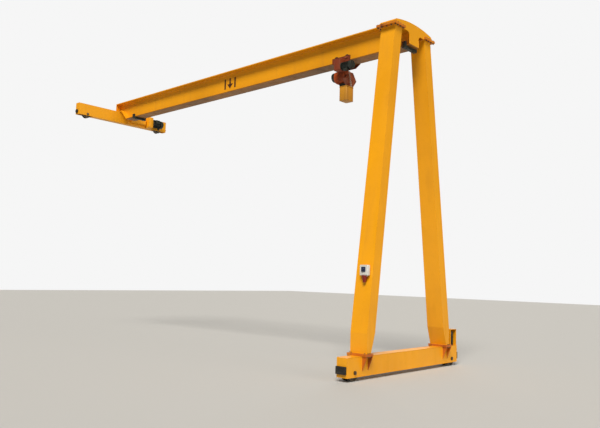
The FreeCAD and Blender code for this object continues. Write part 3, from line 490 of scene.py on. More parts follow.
beadLook = {
    "throat": 0.006,
    "thin": 0.0048,           # throat on the gussets and the tongue
    "seam": 0.003,            # throat along the floor beam's edges
    "step": 0.05,             # metres between the points that wobble
    "wobble": 0.0012,
    "footWide": 0.105,        # a leg's foot along Y
    "topWide": 0.21,          # a leg's top along Y
    "topHalf": 0.15,          # half of a leg's top along X
    "gussetMiddle": 1.24,     # Y of the middle of a pair of gussets
    "gussetHalf": 0.075,      # half the distance between them
    "gussetPlate": 0.005,     # half of a gusset's thickness
    "tongueHalf": 0.145,      # half the width of the front plate's tongue
    "tongueLong": 0.12,
}


def layBead(start, end, throat):
    start, end = Vector(start), Vector(end)
    long = (end - start).length
    bead = addRod("bead", (0, 0, 0), throat, long, count=7)
    cuts = max(1, min(60, int(long / beadLook["step"])))
    work(bead, along("z"), (bpy.ops.mesh.subdivide, {"number_cuts": cuts}), kind="EDGE")
    deselectAll()
    bpy.context.view_layer.objects.active = bead
    bead.select_set(True)
    bpy.ops.object.mode_set(mode="EDIT")
    bpy.ops.mesh.select_all(action="SELECT")
    bpy.ops.transform.vertex_random(offset=beadLook["wobble"], seed=3)
    bpy.ops.object.mode_set(mode="OBJECT")
    bead.data.transform(aim(start, end - start))
    return bead


def weldRing(half, inner, outer, level, throat):
    # four beads round a leg's end
    corners = [(-half, inner, level), (half, inner, level), (half, outer, level), (-half, outer, level)]
    return [layBead(a, b, throat) for a, b in zip(corners, corners[1:] + corners[:1])]


beads = []
throat = beadLook["throat"]
for y in (-webHigh.y, webHigh.y):
    for start, end in (
        ((topLow.x, y, topLow.z), (topHigh.x, y, topLow.z)),
        ((girderLow.x, y, girderHigh.z), (girderHigh.x - 0.02, y, girderHigh.z)),
        ((seatFlangeLow.x, y, seatFlangeHigh.z), (seatFlangeHigh.x, y, seatFlangeHigh.z)),
        ((seatFlangeHigh.x, y, haunchHigh.z), (haunchHigh.x, y, girderHigh.z)),
    ):
        beads.append(layBead(start, end, throat))
for side, sign in sides:
    outer = -legLow.y
    inner = outer - beadLook["footWide"]
    beads += weldRing(legHigh.x, sign * inner, sign * outer, footHigh.z, throat)
    inner = -legHigh.y
    outer = inner + beadLook["topWide"]
    beads += weldRing(beadLook["topHalf"], sign * inner, sign * outer, flangeLow.z, throat)
    for x in (beamLow.x, beamHigh.x):
        for spread in (-beadLook["gussetHalf"], beadLook["gussetHalf"]):
            for plate in (-beadLook["gussetPlate"], beadLook["gussetPlate"]):
                y = sign * beadLook["gussetMiddle"] + spread + plate
                beads.append(layBead((x, y, bracketLow.z), (x, y, footLow.z - 0.02), beadLook["thin"]))
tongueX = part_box("saddle_front_plate")[1].x
for y in (-beadLook["tongueHalf"], beadLook["tongueHalf"]):
    end = (tongueX, y, girderHigh.z + beadLook["tongueLong"])
    beads.append(layBead((tongueX, y, girderHigh.z), end, beadLook["thin"]))
for level in (beamLow.z, beamHigh.z):
    for x in (beamLow.x, beamHigh.x):
        beads.append(layBead((x, beamLow.y, level), (x, beamHigh.y, level), beadLook["seam"]))
settle(paint(join("weld_beads", beads), craneEnamel), "frame")
print("welds laid")


# wheels: two rims on a tread, with a recessed web round the hub

def makeWheel(name, middle, axis, values, body, replaced):
    rim = values["rimWide"]
    half = values["wide"] / 2
    treadWide = values["wide"] - rim * values["rims"]
    tread = addRod("tread", (0, 0, -half + rim), values["tread"], treadWide, count=48)
    pieces = [tread]
    starts = (-half, half - rim) if values["rims"] == 2 else (-half,)
    for start in starts:
        disc = addRod("rim", (0, 0, start), values["rim"], rim, count=48)
        outward = -1 if start < 0 else 1
        carve(disc, facing("z", outward), [(values["rim"] * 0.16, 0), (0.004, -rim * 0.5),
                                           (values["rim"] * 0.34, 0), (0.004, rim * 0.5)])
        pieces.append(bevel(disc, rim * 0.15, 2, 50))
    if values["rims"] == 1:
        carve(tread, facing("z"), [(values["tread"] * 0.2, 0), (0.003, -0.006)])
    wheel = join(name + "_turned", pieces)
    wheel.data.transform(aim(middle, axes[axis] * values.get("way", 1)))
    return settle(paint(wheel, wheelSteel), body, replaced)


wheelLook = {"rimWide": 0.022, "rimProud": 0.015, "smallRimWide": 0.009, "smallRimProud": 0.010}
for level in ("floor", "upper"):
    for side, sign in sides:
        name = level + "_wheel_" + side
        low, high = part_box(name)
        rim = (high.z - low.z) / 2
        values = {"rim": rim, "tread": rim - wheelLook["rimProud"], "wide": high.x - low.x,
                  "rimWide": wheelLook["rimWide"], "rims": 2}
        makeWheel(name, (low + high) / 2, "x", values, name, [name])
for side, sign in sides:
    for end in ("front", "rear"):
        name = "trolley_wheel_%s_%s" % (side, end)
        low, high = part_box(name)
        rim = (high.z - low.z) / 2
        values = {"rim": rim, "tread": rim - wheelLook["smallRimProud"], "wide": high.y - low.y,
                  "rimWide": wheelLook["smallRimWide"], "rims": 1, "way": -sign}
        makeWheel(name, (low + high) / 2, "y", values, name, [name])
print("wheels turned")


# buffers

bufferLook = {"floorDeep": 0.04, "upperDeep": 0.03, "corner": 0.006}
low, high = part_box("floor_buffers")
for side, sign in sides:
    inner = sign * (high.y - bufferLook["floorDeep"])
    outer = sign * high.y
    block = addBlock("block", (low.x, min(inner, outer), low.z), (high.x, max(inner, outer), high.z))
    carve(block, facing("y", sign), [(0.020, 0.0), (0.008, -0.008)])
    bevel(block, bufferLook["corner"], 3)
    settle(paint(block, bufferRubber), "frame")
    block.name = "floor_buffer_" + side
    if side == "near":
        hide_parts("floor_buffers")
low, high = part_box("upper_buffers")
radius = (high.x - low.x) / 2
for side, sign in sides:
    foot = (low.x + radius, sign * (high.y - bufferLook["upperDeep"]), low.z + radius)
    cup = addRod("cup", (0, 0, 0), radius, bufferLook["upperDeep"], count=40)
    carve(cup, facing("z"), [(0.012, 0), (0.006, -0.004)])
    bevel(cup, bufferLook["corner"], 3)
    cup.data.transform(aim(foot, (0, sign, 0)))
    cup.name = "upper_buffer_" + side
    settle(paint(cup, bufferRubber), "frame")
    if side == "near":
        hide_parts("upper_buffers")
print("buffers moulded")


# motors: a finned barrel between a flange and a fan cover, with a terminal box

def makeMotor(node, values):
    low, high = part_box(node)
    way = axes[values["axis"]]
    radius = (high - low).dot(axes[values["across"]]) / 2
    long = (high - low).dot(way)
    foot = (low + high) / 2 - way * long / 2
    cover = long * values["coverShare"]
    core = radius * 0.84
    barrel = bevel(addRod("barrel", (0, 0, 0.012), core, long - cover - 0.012, count=40), 0.004, 2)
    flange = bevel(addRod("flange", (0, 0, 0), radius, 0.014, count=40), 0.003, 2)
    hood = addRod("hood", (0, 0, long - cover), radius * 0.97, cover, count=40, tip=radius * 0.93)
    carve(hood, facing("z"), [(radius * 0.14, 0.0), (0.004, -0.006), (radius * 0.16, 0),
                              (0.004, 0.006), (radius * 0.16, 0), (0.004, -0.006)])
    bevel(hood, 0.004, 2)
    pieces = [barrel, flange, hood]
    finLong = long - cover - 0.024
    fin = addBlock("fin", (core - 0.004, -0.0018, 0.018), (radius * 0.97, 0.0018, 0.018 + finLong))
    bevel(fin, 0.0012, 1)
    for number in range(values["fins"]):
        pieces.append(copyTo(fin, Matrix.Rotation(2 * math.pi * number / values["fins"], 4, "Z")))
    drop(fin)
    if values["box"]:
        boxHalf = radius * 0.42
        case = addBlock("case", (-boxHalf, radius * 0.80, long * 0.22), (boxHalf, radius * 1.22, long * 0.60))
        carve(case, facing("y"), [(0.005, 0), (0.0015, 0.006)])
        pieces.append(bevel(case, 0.004, 2))
    motor = join(values["piece"], pieces)
    turn = aim(foot, way)
    # the terminal box, modelled along +Y, is turned to look the chosen way
    local = turn.to_3x3().transposed() @ Vector(values["boxWay"])
    spin = math.atan2(local.y, local.x) - math.pi / 2
    motor.data.transform(turn @ Matrix.Rotation(spin, 4, "Z"))
    return settle(paint(motor, motorEnamel), values["body"], [node])


motorLook = {
    "travel_motor": {"piece": "travel_motor_finned", "body": "trolley", "axis": "x", "across": "z",
                     "coverShare": 0.26, "fins": 26, "box": True, "boxWay": (0, -0.3, -1)},
    "upper_travel_motor": {"piece": "upper_motor_finned", "body": "frame", "axis": "y", "across": "z",
                           "coverShare": 0.24, "fins": 30, "box": True, "boxWay": (1, 0, 0.4)},
    "floor_drive_motor": {"piece": "floor_motor_finned", "body": "frame", "axis": "z", "across": "x",
                          "coverShare": 0.28, "fins": 24, "box": False, "boxWay": (1, 0, 0)},
}
for node, values in motorLook.items():
    makeMotor(node, values)
print("motors built")


# hoist: a rounded housing with cooling ribs, a brake cover and a six-sided gear case

hoistLook = {"corner": 0.095, "ribStart": 0.03, "ribStep": 0.022, "ribThick": 0.004, "ribProud": 0.007}
low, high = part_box("hoist_housing")
body = addBlock("hoist_body", low, high)
roundEdges(body, along("x"), hoistLook["corner"], 7)
bevel(body, 0.006, 2, 60)
pieces = [body]
count = int((high.x - low.x - 2 * hoistLook["ribStart"]) / hoistLook["ribStep"])
proud = Vector((0, hoistLook["ribProud"], 0))
for number in range(count):
    x = low.x + hoistLook["ribStart"] + number * hoistLook["ribStep"]
    ribLow = Vector((x, low.y, low.z - hoistLook["ribProud"])) - proud
    ribHigh = Vector((x + hoistLook["ribThick"], high.y, high.z)) + proud
    rib = addBlock("rib", ribLow, ribHigh)
    roundEdges(rib, along("x"), hoistLook["corner"] + 0.004, 6)
    pieces.append(rib)
settle(paint(join("hoist_body", pieces), hoistEnamel), "trolley", ["hoist_housing"])

brakeLook = {"ribs": 18, "ribHalf": 0.004}
low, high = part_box("hoist_brake_cover")
radius = (high.z - low.z) / 2
cap = addRod("cap", (0, 0, 0), radius, high.x - low.x, count=40)
carve(cap, facing("z"), [(0.012, 0.0), (0.012, -0.008), (0.020, 0), (0.006, 0.010)])
bevel(cap, 0.005, 3, 40)
ribs = [cap]
thin = brakeLook["ribHalf"]
bar = addBlock("bar", (radius - thin, -thin, 0.01), (radius + thin, thin, high.x - low.x - 0.012))
for number in range(brakeLook["ribs"]):
    ribs.append(copyTo(bar, Matrix.Rotation(2 * math.pi * number / brakeLook["ribs"], 4, "Z")))
drop(bar)
cover = join("brake_cover_ribbed", ribs)
cover.data.transform(aim((high.x, (low.y + high.y) / 2, (low.z + high.z) / 2), (-1, 0, 0)))
settle(paint(cover, motorEnamel), "trolley", ["hoist_brake_cover"])

low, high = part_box("hoist_gear_case")
middle = (low + high) / 2
gearCaseLook = {
    "flat": 0.06,       # half the width of the flat at the top
    "lip": 0.018,
    "step": 0.010,      # how far the cover stands out from the lip
    "front": 0.012,     # what the cover and its bolts take of the case's depth
    "boltRing": 0.72,   # the cover's bolts, as a share of the half size
}
half = (high.y - low.y) / 2
tall = (high.z - low.z) / 2
case = addRod("gear_case_cast", (0, 0, 0), 1, high.x - low.x - gearCaseLook["front"], count=6)
case.data.transform(Matrix.Diagonal((tall / math.cos(math.pi / 6), half, 1, 1)))
narrow = {"value": (1, 2 * gearCaseLook["flat"] / half, 1)}
work(case, along("x"), (bpy.ops.transform.resize, narrow))
carve(case, facing("z"), [(gearCaseLook["lip"], 0.0), (0.004, gearCaseLook["step"]), (0.030, 0.0),
                          (0.003, -0.005), (0.020, 0.0), (0.003, 0.005)])
bevel(case, 0.004, 2, 25)
case.data.transform(Matrix.Translation((low.x, middle.y, middle.z)) @ Matrix.Rotation(math.pi / 2, 4, "Y"))
settle(paint(case, gearEnamel), "trolley", ["hoist_gear_case"])
cover = Vector((high.x - gearCaseLook["front"] / 2, middle.y, middle.z))
coverSpots = []
for number in range(6):
    turn = math.radians(60 * number + 30)
    reach = Vector((0, math.sin(turn) * half, math.cos(turn) * tall)) * gearCaseLook["boltRing"]
    coverSpots.append((cover + reach, (1, 0, 0), 0))
placeBolts("gear_case_bolts", "trolley", coverSpots, 0.6)

gearedLook = {"coverEdge": 0.0072, "corner": 0.018, "boltEdge": 0.022, "boltSink": 0.006}
for node, body, finish, slotName in (
    ("travel_gear_case", "trolley", trolleyEnamel, "trolley_paint"),
    ("upper_gear_case", "frame", craneEnamel, "crane_paint"),
):
    low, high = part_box(node)
    block = addBlock(node + "_cast", low, high)
    roundEdges(block, along("y"), gearedLook["corner"], 4)
    for side, sign in sides:
        carve(block, facing("y", sign), [(gearedLook["coverEdge"], 0.0), (0.002, -0.004),
                                         (0.004, 0.0), (0.002, 0.004)])
    bevel(block, 0.002, 2, 40)
    settle(paint(block, finish), body, [node])
    edge = gearedLook["boltEdge"]
    spots = []
    for x in (low.x + edge, high.x - edge):
        for z in (low.z + edge, (low.z + high.z) / 2, high.z - edge):
            spots.append(((x, low.y + gearedLook["boltSink"], z), (0, -1, 0), 0))
            spots.append(((x, high.y - gearedLook["boltSink"], z), (0, 1, 0), 0))
    placeBolts(node + "_bolts", body, spots, 0.55)

low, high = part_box("trolley_side_plates")
capLook = {"radius": 0.028, "proud": 0.014, "boltReach": 0.038, "boltAngles": (0.35, 2.79, 3.9, 5.5)}
capSpots = []
caps = []
for side, sign in sides:
    face = high.y if sign > 0 else low.y
    outward = (0, sign, 0)
    for end in ("front", "rear"):
        wheelLow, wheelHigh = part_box("trolley_wheel_%s_%s" % (side, end))
        middle = (wheelLow + wheelHigh) / 2
        middle.y = face
        wide = capLook["radius"]
        cap = addRod("cap", (0, 0, 0), wide, capLook["proud"], count=28, tip=wide * 0.86)
        carve(cap, facing("z"), [(0.006, 0.0), (0.002, -0.004), (0.008, 0.0), (0.002, 0.006)])
        cap.data.transform(aim(middle, outward))
        caps.append(bevel(cap, 0.0012, 1, 50))
        for turn in capLook["boltAngles"]:
            reach = Vector((math.cos(turn), 0, math.sin(turn))) * capLook["boltReach"]
            capSpots.append((middle + reach, outward, 0))
settle(paint(join("wheel_pin_caps", caps), gearEnamel), "trolley")
placeBolts("wheel_pin_bolts", "trolley", capSpots, 0.45)
hangerLook = {"x": -1.38, "level": 5.705}     # the bar that the hoist's lug hangs from
hangerSpots = []
for side, sign in sides:
    hangerSpots.append(((hangerLook["x"], sign * high.y, hangerLook["level"]), (0, sign, 0), 0))
placeBolts("hanger_bar_nuts", "trolley", hangerSpots, 1.7)
print("hoist built")


# load chain, slack chain and its container

linkSize = {"wire": 0.009, "pitch": 0.027, "inner": 0.0115}


def makeLink(size):
    deselectAll()
    ring = (size["inner"] + size["wire"]) / 2
    bpy.ops.mesh.primitive_torus_add(major_radius=ring, minor_radius=size["wire"] / 2, major_segments=12,
                                     minor_segments=6, rotation=(math.pi / 2, 0, 0))
    link = takeNew("link")
    stretch = {"value": (0, 0, size["pitch"] - size["inner"])}
    work(link, lambda at, way: at.z > 0, (bpy.ops.transform.translate, stretch))
    link.data.transform(Matrix.Translation((0, 0, (size["inner"] - size["pitch"]) / 2)))
    return link


link = makeLink(linkSize)


def chainAlong(points, turn=0.0):
    # links threaded along a run of points, one pitch apart, each turned a quarter from the last
    made = []
    for number, (a, b) in enumerate(zip(points, points[1:])):
        move = aim((Vector(a) + Vector(b)) / 2, Vector(b) - Vector(a))
        made.append(copyTo(link, move @ Matrix.Rotation(turn + math.pi / 2 * (number % 2), 4, "Z")))
    return made


def straightFall(x, y, bottom, count):
    return [(x, y, bottom + linkSize["pitch"] * step) for step in range(count + 1)]


fallLook = {
    "gap": 0.040,       # metres between the two falls
    "segments": 15,
    "links": 12,        # links in a length of one fall
    "hookLinks": 14,    # links in the length that rides the hook
    "stored": 0.16,     # height of the stored lengths above the guide's mouth
    "reach": 400.0,     # metres over which a length's share of the hook's travel fades from all to none
}
blockLow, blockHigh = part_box("hook_block")
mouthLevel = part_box("load_chain")[1].z
hookX = (blockLow.x + blockHigh.x) / 2
fallX = (hookX - fallLook["gap"] / 2, hookX + fallLook["gap"] / 2)


def makeFalls(name, bottom, count):
    made = []
    for x in fallX:
        made += chainAlong(straightFall(x, 0, bottom, count), math.pi / 4)
    return paint(join(name, made), chainSteel)


# the drawn chain: the length on the hook rides the hook, and the other lengths sit in the hoist above the
# guide's mouth; a level is worked out for each but not applied
hookFalls = makeFalls("load_chain_hook", blockHigh.z - 0.014, fallLook["hookLinks"])
settle(hookFalls, "hook", ["load_chain"])
for number in range(1, fallLook["segments"]):
    falls = makeFalls("load_chain_%02d" % number, mouthLevel + 0.002, fallLook["links"])
    share = number / fallLook["segments"]
    height = 0.5 - math.sin(math.asin(1 - 2 * share) / 3)
    level = mouthLevel + fallLook["stored"] + fallLook["reach"] * height
    deselectAll()
    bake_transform(falls)

guideLook = {"mouth": 0.12, "corner": 0.012}
guideLow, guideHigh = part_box("chain_guide")
guide = addBlock("chain_guide_cast", guideLow, guideHigh)
narrow = guideLook["mouth"] / (guideHigh.x - guideLow.x)
taper = {"value": (narrow, 1, 1), "center_override": (hookX, 0, guideLow.z)}
work(guide, facing("z", -1), (bpy.ops.transform.resize, taper))
roundEdges(guide, along("z", 0.6), guideLook["corner"], 3)
carve(guide, facing("z", -1), [(0.008, 0.0), (0.002, -0.030)])
bevel(guide, 0.002, 2, 40)
settle(paint(guide, motorEnamel), "trolley", ["chain_guide"])

tubLook = {"corner": 0.022, "wall": 0.005, "rim": 0.006, "rimTop": 0.002, "rimFoot": 0.014}
tubLow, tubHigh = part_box("chain_container")
tub = addBlock("chain_bin", tubLow, tubHigh)
roundEdges(tub, along("z"), tubLook["corner"], 5)
depth = tubHigh.z - tubLow.z - tubLook["wall"]
carve(tub, facing("z"), [(tubLook["wall"], 0.0), (0.0005, -depth)])
proud = tubLook["rim"]
rim = addBlock("rim", (tubLow.x - proud, tubLow.y - proud, tubHigh.z - tubLook["rimFoot"]),
               (tubHigh.x + proud, tubHigh.y + proud * 0.5, tubHigh.z - tubLook["rimTop"]))
roundEdges(rim, along("z"), tubLook["corner"], 5)
work(rim, along("z"), (bpy.ops.mesh.inset, {"thickness": tubLook["wall"] + 0.005}),
     (bpy.ops.mesh.bridge_edge_loops, {}))
tub = join("chain_bin", [tub, rim])
bevel(tub, 0.002, 2, 50)
settle(paint(tub, containerEnamel), "trolley", ["chain_container"])

# the slack chain leaves the housing, bends over the rim and drops into the container
slackPath = [(-1.385, 0.0, 5.290), (-1.352, -0.028, 5.296), (-1.328, -0.050, 5.285), (-1.308, -0.072, 5.262),
             (-1.296, -0.088, 5.235)]
slackLook = {
    "floor": tubLow.z + 0.075,   # top of the coils
    "drift": (0.0006, -0.0008),
    "layers": 4,
    "coil": 0.062,               # radius of a wide turn
    "narrower": 0.008,           # every second turn
    "lowest": 0.022,
    "rise": 0.017,               # from one layer to the next
    "wave": 0.004,
    "shift": 0.006,
}
while slackPath[-1][2] > slackLook["floor"]:
    x, y, z = slackPath[-1]
    slackPath.append((x + slackLook["drift"][0], y + slackLook["drift"][1], z - linkSize["pitch"]))
slack = chainAlong(slackPath)
tubMiddle = (tubLow + tubHigh) / 2
for layer in range(slackLook["layers"]):
    ring = slackLook["coil"] - slackLook["narrower"] * (layer % 2)
    count = int(2 * math.pi * ring / linkSize["pitch"])
    shift = Vector((math.cos(2.3 * layer), math.sin(1.7 * layer), 0)) * slackLook["shift"]
    centre = Vector((tubMiddle.x, tubMiddle.y, 0)) + shift
    floorLevel = tubLow.z + slackLook["lowest"] + slackLook["rise"] * layer
    loop = []
    for step in range(count + 1):
        angle = 2 * math.pi * step / count + layer
        wave = slackLook["wave"] * math.sin(3 * angle + layer)
        out = Vector((math.cos(angle), math.sin(angle), 0)) * (ring + wave)
        loop.append(centre + out + Vector((0, 0, floorLevel + wave)))
    slack += chainAlong(loop)
    slack += chainAlong([point * 0.5 + Vector((centre.x, centre.y, point.z)) * 0.5 for point in loop[::2]])
settle(paint(join("slack_chain", slack), chainSteel), "trolley")

# a second, bright chain carries the container's outer side from the gear case
carrier = {"top": Vector((-1.228, -0.098, 5.540)), "bottom": Vector((-1.186, -0.070, 5.222)), "eyeX": -1.244}
run = carrier["bottom"] - carrier["top"]
count = round(run.length / linkSize["pitch"])
carrierPath = [carrier["top"] + run * step / count for step in range(count + 1)]
eye = addRod("eye", (carrier["eyeX"], carrier["top"].y, carrier["top"].z), 0.009, 0.022, "x", 16)
eye = bevel(eye, 0.002, 2)
settle(paint(join("container_chain", chainAlong(carrierPath) + [eye]), brightZinc), "trolley")
drop(link)
print("chain threaded")


# hook block and forged hook

blockLook = {"cheek": 0.014, "corner": 0.016, "core": (0.008, 0.013, 0.004), "pin": 0.009, "pinDrop": 0.022}
cheeks = []
for side, sign in sides:
    outer = sign * blockHigh.y
    inner = sign * (blockHigh.y - blockLook["cheek"])
    cheekLow = (blockLow.x, min(inner, outer), blockLow.z)
    cheekHigh = (blockHigh.x, max(inner, outer), blockHigh.z)
    cheek = addBlock("cheek", cheekLow, cheekHigh)
    roundEdges(cheek, along("y"), blockLook["corner"], 4)
    carve(cheek, facing("y", sign), [(0.006, 0.0), (0.002, -0.002)])
    cheeks.append(bevel(cheek, 0.0015, 2, 40))
room = Vector(blockLook["core"])
core = addBlock("core", blockLow + room, blockHigh - room - Vector((0, 0, 0.006)))
cheeks.append(bevel(core, 0.004, 2))
for x in fallX:
    start = (x, -blockHigh.y - 0.002, blockHigh.z - blockLook["pinDrop"])
    pin = addRod("pin", start, blockLook["pin"], 2 * blockHigh.y + 0.004, "y", 20)
    cheeks.append(bevel(pin, 0.0015, 2))
settle(paint(join("hook_block_cheeks", cheeks), craneEnamel), "hook", ["hook_block"])

hookLook = {
    "bar": 0.012,       # radius of the forged bar
    "bowl": 0.034,      # radius that the bar's middle follows
    "level": 5.082,     # middle of the bowl
    "turn": 205,        # degrees of the bowl, from the back round to the tip
    "shank": 0.011,
    "shankFoot": 0.030,
    "nut": 0.017,
    "nutTall": 0.012,
}
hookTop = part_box("load_hook")[1].z
bowl = hookLook["bowl"]
centre = Vector((hookX, 0, hookLook["level"]))
back = centre - Vector((bowl, 0, 0))
deselectAll()
bpy.ops.mesh.primitive_circle_add(vertices=14, radius=hookLook["bar"], fill_type="NGON", location=back)
hook = takeNew("hook_forged")
spinStep = {"steps": 22, "angle": math.radians(hookLook["turn"]), "center": centre, "axis": (0, 1, 0)}
work(hook, lambda at, way: True, (bpy.ops.mesh.spin, spinStep))
past = math.radians(hookLook["turn"] - 180)
tip = centre + Vector((math.cos(past), 0, math.sin(past))) * bowl
carve(hook, lambda at, way: (at - tip).length < 0.003, [(0.003, 0.003), (0.004, 0.005)])
foot = centre + Vector((0, 0, hookLook["shankFoot"]))
shank = addRod("shank", foot, hookLook["shank"], hookTop - foot.z, count=20)
nutFoot = (hookX, 0, hookTop - hookLook["nutTall"] - 0.002)
nut = bevel(addRod("nut", nutFoot, hookLook["nut"], hookLook["nutTall"], count=6), 0.002, 2)
neck = addRod("neck", back, hookLook["bar"], 0.018, count=14)
work(neck, facing("z"), (bpy.ops.transform.translate, {"value": (bowl, 0, 0.014)}))
latch = addBlock("latch", centre + Vector((-0.020, -0.005, 0.014)), centre + Vector((0.030, 0.005, 0.017)))
bevel(latch, 0.001, 2)
hook = join("hook_forged", [hook, shank, nut, neck, latch])
settle(paint(hook, forgedSteel), "hook", ["load_hook"])
print("hook forged")


# electrical boxes

boxLook = {"corner": 0.010, "seam": 0.003, "screw": 0.005, "screwEdge": 0.022, "gland": 0.011}


def makeBox(name, node, facePlace, finish, body):
    # a shell with a lid seam on the side that the face looks to, a screw in each corner and three glands
    low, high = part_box(node)
    face = Vector(facePlace)
    seam = boxLook["seam"]
    shell = addBlock(name, low, high)
    bevel(shell, boxLook["corner"], 3, 60)
    carve(shell, lambda at, way: way.dot(face) > 0.95,
          [(0.002, 0.0), (0.0015, -seam), (0.002, 0.0), (0.0015, seam + 0.002)])
    middle = (low + high) / 2
    reach = (high - low) / 2
    first, second = [way for way in axes.values() if abs(way.dot(face)) < 0.5]
    front = middle + Vector([f * r for f, r in zip(face, reach)])
    pieces = [shell]
    for a in (-1, 1):
        for b in (-1, 1):
            spot = front + first * a * (reach.dot(first) - boxLook["screwEdge"])
            spot += second * b * (reach.dot(second) - boxLook["screwEdge"])
            screw = addRod("screw", (0, 0, 0.001), boxLook["screw"], 0.004, count=16)
            carve(screw, facing("z"), [(0.0015, 0.0), (0.0005, -0.0015)])
            screw.data.transform(aim(spot, face))
            pieces.append(screw)
    for step in (-0.5, 0, 0.5):
        gland = addRod("gland", (0, 0, 0), boxLook["gland"], 0.016, count=8, tip=boxLook["gland"] - 0.002)
        bevel(gland, 0.001, 2)
        foot = Vector((middle.x, middle.y, low.z)) + first * step * reach.dot(first) * 1.1
        gland.data.transform(aim(foot, (0, 0, -1)))
        pieces.append(gland)
    return settle(paint(join(name, pieces), finish), body, [node])


makeBox("terminal_case", "upper_terminal_box", (1, 0, 0), craneEnamel, "frame")
makeBox("switch_case", "switch_box", (0, -1, 0), powderCoat, "frame")
low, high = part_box("switch_isolator")
middle = (low + high) / 2
plate = addBlock("isolator_plate", low, high)
bevel(plate, 0.003, 2)
carve(plate, facing("y", -1), [(0.005, 0.0), (0.0015, 0.002)])
knobLook = {"radius": 0.024, "thick": 0.008, "gripHalf": 0.007, "gripProud": 0.026}
knob = addRod("knob", (0, 0, 0), knobLook["radius"], knobLook["thick"], count=32)
carve(knob, facing("z"), [(0.003, 0.003)])
half, long = knobLook["gripHalf"], knobLook["radius"]
grip = addBlock("grip", (-half, -long, 0.006), (half, long, knobLook["gripProud"]))
work(grip, facing("z"), (bpy.ops.transform.resize, {"value": (0.7, 0.9, 1)}))
bevel(grip, 0.003, 2)
knob = join("knob", [knob, grip])
knob.data.transform(aim((middle.x, low.y, middle.z), (0, -1, 0)))
handle = paint(join("isolator_handle", [plate, knob]), isolatorPlastic)
settle(handle, "frame", ["switch_isolator"])

low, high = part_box("warning_beacon")
middle = (low + high) / 2
beaconLook = {"rings": 5, "top": 0.045, "bottom": 0.025}
tall = (high.z - low.z) / (beaconLook["rings"] + 1)
socket = addRod("socket", (middle.x, middle.y, high.z - tall), beaconLook["top"], tall, count=36)
rings = [bevel(socket, 0.003, 2)]
for number in range(beaconLook["rings"]):
    share = (number + 0.5) / beaconLook["rings"]
    wide = beaconLook["top"] + (beaconLook["bottom"] - beaconLook["top"]) * share
    foot = high.z - tall * (number + 2)
    ring = addRod("ring", (middle.x, middle.y, foot), wide * 0.93, tall, count=36, tip=wide)
    rings.append(bevel(ring, 0.0035, 2))
settle(paint(join("beacon_lens", rings), beaconPlastic), "frame", ["warning_beacon"])
print("boxes mounted")


# a plain arrow between two bars, sprayed through a stencil on the web

markLook = {
    "left": -5.00,
    "foot": 5.885,
    "height": 0.24,
    "bar": 0.05,         # width of a bar and of the arrow's shaft
    "gap": 0.02,         # what the space beside the arrow has beyond half a bar
    "arrow": 0.20,       # width of the arrow's head
    "headLong": 0.11,
    "thick": 0.0006,
}
front, rear = webLow.y - markLook["thick"], webLow.y - 0.0001
wide, gap = markLook["bar"], markLook["gap"]
foot, top = markLook["foot"], markLook["foot"] + markLook["height"]
marks = []
for left in (markLook["left"], markLook["left"] + markLook["arrow"] + 2 * wide + 2 * gap):
    marks.append(addBlock("bar", (left, front, foot), (left + wide, rear, top)))
middle = markLook["left"] + wide * 1.5 + gap + markLook["arrow"] / 2
half = markLook["arrow"] / 2
shaftFoot = foot + markLook["headLong"] - 0.01
marks.append(addBlock("shaft", (middle - wide / 2, front, shaftFoot), (middle + wide / 2, rear, top)))
tip = addBlock("tip", (middle - half, front, foot), (middle + half, rear, foot + markLook["headLong"]))
pinch = {"value": (0.02, 1, 1), "center_override": (middle, 0, foot)}
marks.append(work(tip, facing("z", -1), (bpy.ops.transform.resize, pinch)))
settle(paint(join("stencil_mark", marks), markPaint), "frame")
print("mark sprayed")


# floor, light and camera

floorLook = {"level": -0.016, "wide": 90, "colour": "#BCC1C8"}
deselectAll()
bpy.ops.mesh.primitive_plane_add(size=1, location=(0, 0, floorLook["level"]))
floor = bpy.context.object
floor.name = "studio_floor"
work(floor, lambda at, way: True, (bpy.ops.mesh.subdivide, {"number_cuts": 3}))
floor.data.transform(Matrix.Diagonal((floorLook["wide"], floorLook["wide"], 1, 1)))
floorMaterial, floorTree = newMaterial("pale_studio_floor")
closeMaterial(floorTree, {"Base Color": linear(floorLook["colour"]), "Roughness": 0.9}, {})
paint(floor, floorMaterial)

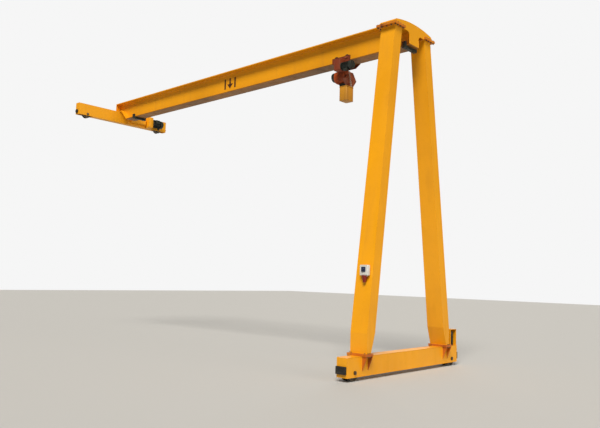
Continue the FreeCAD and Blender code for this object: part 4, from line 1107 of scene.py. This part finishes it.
world = bpy.data.worlds.new("studio")
bpy.context.scene.world = world
world.use_nodes = True
world.node_tree.nodes.clear()
sky = addNode(world.node_tree, "ShaderNodeBackground", {"Color": linear("#FBF4E8"), "Strength": 0.15})
backdrop = addNode(world.node_tree, "ShaderNodeBackground", {"Color": linear("#F6F6F6"), "Strength": 1.0})
seen = addNode(world.node_tree, "ShaderNodeLightPath", {})
ends = {0: seen.outputs["Is Camera Ray"], 1: sky.outputs[0], 2: backdrop.outputs[0]}
both = addNode(world.node_tree, "ShaderNodeMixShader", {}, ends)
addNode(world.node_tree, "ShaderNodeOutputWorld", {}, {"Surface": both.outputs[0]})


def addSun(name, toward, strength, angle, tint):
    lamp = bpy.data.lights.new(name, "SUN")
    lamp.energy = strength
    lamp.angle = math.radians(angle)
    lamp.color = linear(tint)[:3]
    light = bpy.data.objects.new(name, lamp)
    bpy.context.scene.collection.objects.link(light)
    light.matrix_world = aim((0, 0, 9), toward)


# each lamp's direction points from the crane to the lamp
addSun("key", (0.34, -0.57, 0.75), 3.75, 26, "#FFF3E0")
addSun("fill", (0.95, 0.05, 0.30), 0.8, 30, "#FFF3E0")
addSun("back", (-0.45, 0.80, 0.40), 0.5, 40, "#F4F0EA")
bpy.context.scene.view_settings.view_transform = "Standard"

cameraLook = {
    "place": (6.234, -9.5654, 1.5662),
    "turn": 42.41,      # degrees from +Y towards -X
    "lift": 5.654,      # degrees above level
    "roll": 1.521,
    "lens": 38.43,
}
camera = bpy.data.objects.new("camera", bpy.data.cameras.new("camera"))
camera.data.lens = cameraLook["lens"]
camera.data.sensor_width = 36
camera.data.clip_end = 300
bpy.context.scene.collection.objects.link(camera)
camera.matrix_world = (
    Matrix.Translation(cameraLook["place"])
    @ Matrix.Rotation(math.radians(cameraLook["turn"]), 4, "Z")
    @ Matrix.Rotation(math.radians(90 + cameraLook["lift"]), 4, "X")
    @ Matrix.Rotation(math.radians(cameraLook["roll"]), 4, "Z")
)
bpy.context.scene.camera = camera

drop(boltHead)
drop(boltNut)
print("scene finished")
